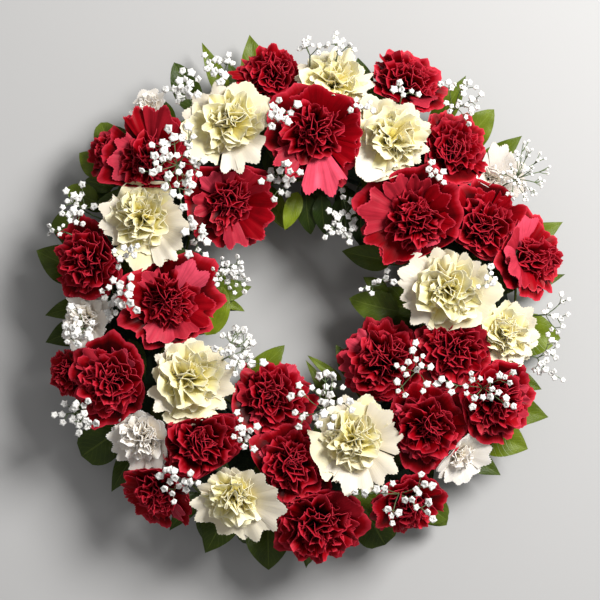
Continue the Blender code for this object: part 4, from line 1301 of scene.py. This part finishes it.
class WreathStageSettings(PropertyGroup):
    floor: FloatVectorProperty(
        name="Floor", description="Colour of the floor", subtype="COLOR", size=3,
        min=0.0, max=1.0, default=(0.50, 0.50, 0.505),
    )
    key_power: FloatProperty(
        name="Key light", description="Power of the large light at the upper right", unit="POWER",
        min=0.0, max=500.0, default=58.5,
    )
    sky: FloatProperty(
        name="Sky", description="Strength of the even light from all round",
        min=0.0, max=5.0, default=0.26,
    )


class WREATH_OT_base(Operator):
    """Finishes the foam ring and the tray that it sits in"""

    bl_idname = "wreath.base"
    bl_label = "Finish Foam and Tray"

    def execute(self, context):
        for node, material in (("foam_ring", foam_material("Wet floral foam")),
                               ("base_tray", tray_material("Dark green tray plastic"))):
            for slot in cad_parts[node].material_slots:
                slot.material = material
        return {"FINISHED"}


class WREATH_OT_carnations(Operator):
    """Builds every carnation: its petals, its calyx and its stem"""

    bl_idname = "wreath.carnations"
    bl_label = "Build Carnations"

    def execute(self, context):
        settings = context.scene.wreath_flowers
        petals = {}
        for kind, parts in PETAL_LOOKS.items():
            colour = np.array(getattr(settings, kind))
            petals[kind] = petal_material(f"{kind.title()} petal", colour, *parts)
        stalk = stalk_material("Carnation calyx", (0.045, 0.110, 0.030), (0.150, 0.260, 0.090))
        counts = {}
        for index, placed in enumerate(PLACED):
            kind = placed.bloom.kind
            counts[kind] = counts.get(kind, 0) + 1
            name = f"{kind}_{counts[kind]:02d}"
            skin = Skin()
            add_head(skin, placed, index, settings)
            add_calyx(skin, placed)
            piece = skin.make_object(f"bloom_{name}", (petals[kind], stalk))
            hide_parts(f"carnation_{name}")
        return {"FINISHED"}


class WREATH_OT_leaf_sprigs(Operator):
    """Builds the leaf sprigs at the outer edge and round the hole"""

    bl_idname = "wreath.leaf_sprigs"
    bl_label = "Build Leaf Sprigs"

    def execute(self, context):
        settings = context.scene.wreath_foliage
        material = leaf_material("Glossy leaf", settings.dark_leaf, settings.light_leaf)
        sides = (("outer", OUTER_SPRIGS, FOAM_OUTER, 1), ("inner", INNER_SPRIGS, FOAM_INNER, -1))
        for side, rows, wall, outward in sides:
            for count, row in enumerate(rows, 1):
                skin = Skin()
                add_sprig(skin, row, wall, outward, count, settings.leaf_thickness)
                piece = skin.make_object(f"leaves_{side}_{count:02d}", (material,))
                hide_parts(f"leaf_sprig_{side}_{count:02d}")
        skin = Skin()
        add_under_leaves(skin, settings.leaf_thickness)
        skin.make_object("leaves_under", (material,))
        return {"FINISHED"}


class WREATH_OT_gypsophila(Operator):
    """Builds the sprays of gypsophila over the flowers and at the edges"""

    bl_idname = "wreath.gypsophila"
    bl_label = "Build Gypsophila"

    def execute(self, context):
        settings = context.scene.wreath_foliage
        floret = floret_material("Gypsophila floret", np.array(settings.floret))
        stalk = stalk_material("Gypsophila stem", (0.030, 0.055, 0.020), (0.230, 0.300, 0.130))
        for count, row in enumerate(SPRAYS + MORE_SPRAYS, 1):
            skin = Skin()
            add_spray(skin, row, count, settings.floret_scale)
            piece = skin.make_object(f"florets_{count:02d}", (floret, stalk), math.pi)
            if count <= len(SPRAYS):
                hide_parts(f"gypsophila_spray_{count:02d}")
        return {"FINISHED"}


def add_floor(colour):
    """A plain matt square."""
    half = FLOOR_HALF
    mesh = bpy.data.meshes.new("floor")
    corners = [(-half, -half, 0), (half, -half, 0), (half, half, 0), (-half, half, 0)]
    mesh.from_pydata(corners, [], [(0, 1, 2, 3)])
    mesh.materials.append(Look("Pale floor").done({"Base Color": colour, "Roughness": 0.85}))
    ground = bpy.data.objects.new("floor", mesh)
    bpy.context.scene.collection.objects.link(ground)


def add_key_light(power):
    """A square soft light that looks at the wreath from the upper right."""
    light = bpy.data.lights.new("key_light", "AREA")
    light.shape = "SQUARE"
    light.size = KEY_SIZE
    light.energy = power
    light.color = KEY_COLOUR
    lamp = bpy.data.objects.new("key_light", light)
    bpy.context.scene.collection.objects.link(lamp)
    way = Vector(KEY_TARGET) - Vector(KEY_PLACE)
    lamp.location = KEY_PLACE
    lamp.rotation_euler = way.to_track_quat("-Z", "Y").to_euler()


def add_sky(strength):
    """Even light from all round, of a little warm colour."""
    world = bpy.data.worlds.new("Studio")
    world.use_nodes = True
    background = world.node_tree.nodes["Background"]
    background.inputs["Color"].default_value = SKY_COLOUR
    background.inputs["Strength"].default_value = strength
    bpy.context.scene.world = world


def add_camera():
    """A camera straight above, with the photo's scale and the ring's axis where the photo has it."""
    camera = bpy.data.cameras.new("camera")
    distance = CAMERA_HEIGHT - MEASURED_HEIGHT
    camera.sensor_width = SENSOR_WIDTH
    camera.lens = camera.sensor_width * distance / (PHOTO_WIDTH * METRES_A_PIXEL)
    camera.clip_end = CAMERA_RANGE
    eye = bpy.data.objects.new("camera", camera)
    middle = PHOTO_WIDTH / 2
    eye.location = (
        (middle - RING_PIXEL[0]) * METRES_A_PIXEL,
        (RING_PIXEL[1] - middle) * METRES_A_PIXEL,
        CAMERA_HEIGHT,
    )
    bpy.context.scene.collection.objects.link(eye)
    bpy.context.scene.camera = eye


class WREATH_OT_stage(Operator):
    """Sets the floor, the lights and the camera straight above"""

    bl_idname = "wreath.stage"
    bl_label = "Set Stage"

    def execute(self, context):
        settings = context.scene.wreath_stage
        add_floor(settings.floor)
        add_key_light(settings.key_power)
        add_sky(settings.sky)
        add_camera()
        context.scene.view_settings.view_transform = "Standard"
        return {"FINISHED"}


class WREATH_PT_panel(Panel):
    """Lists the wreath's pieces and its sizes and colours"""

    bl_idname = "WREATH_PT_panel"
    bl_label = "Carnation Wreath"
    bl_space_type = "VIEW_3D"
    bl_region_type = "UI"
    bl_category = "Wreath"

    def draw(self, context):
        layout = self.layout
        for operator in OPERATORS:
            layout.operator(operator.bl_idname)
        for name in GROUPS:
            group = getattr(context.scene, name)
            box = layout.box()
            for setting in group.__annotations__:
                box.prop(group, setting)


OPERATORS = (
    WREATH_OT_base, WREATH_OT_carnations, WREATH_OT_leaf_sprigs, WREATH_OT_gypsophila, WREATH_OT_stage,
)
GROUPS = {
    "wreath_flowers": WreathFlowerSettings,
    "wreath_foliage": WreathFoliageSettings,
    "wreath_stage": WreathStageSettings,
}


def register():
    for kind in (*GROUPS.values(), *OPERATORS, WREATH_PT_panel):
        bpy.utils.register_class(kind)
    for name, group in GROUPS.items():
        setattr(bpy.types.Scene, name, PointerProperty(type=group))


def unregister():
    for name in GROUPS:
        delattr(bpy.types.Scene, name)
    for kind in reversed((*GROUPS.values(), *OPERATORS, WREATH_PT_panel)):
        bpy.utils.unregister_class(kind)


def main():
    register()
    bpy.ops.wreath.base()
    bpy.ops.wreath.carnations()
    bpy.ops.wreath.leaf_sprigs()
    bpy.ops.wreath.gypsophila()
    bpy.ops.wreath.stage()


if __name__ == "__main__":
    main()
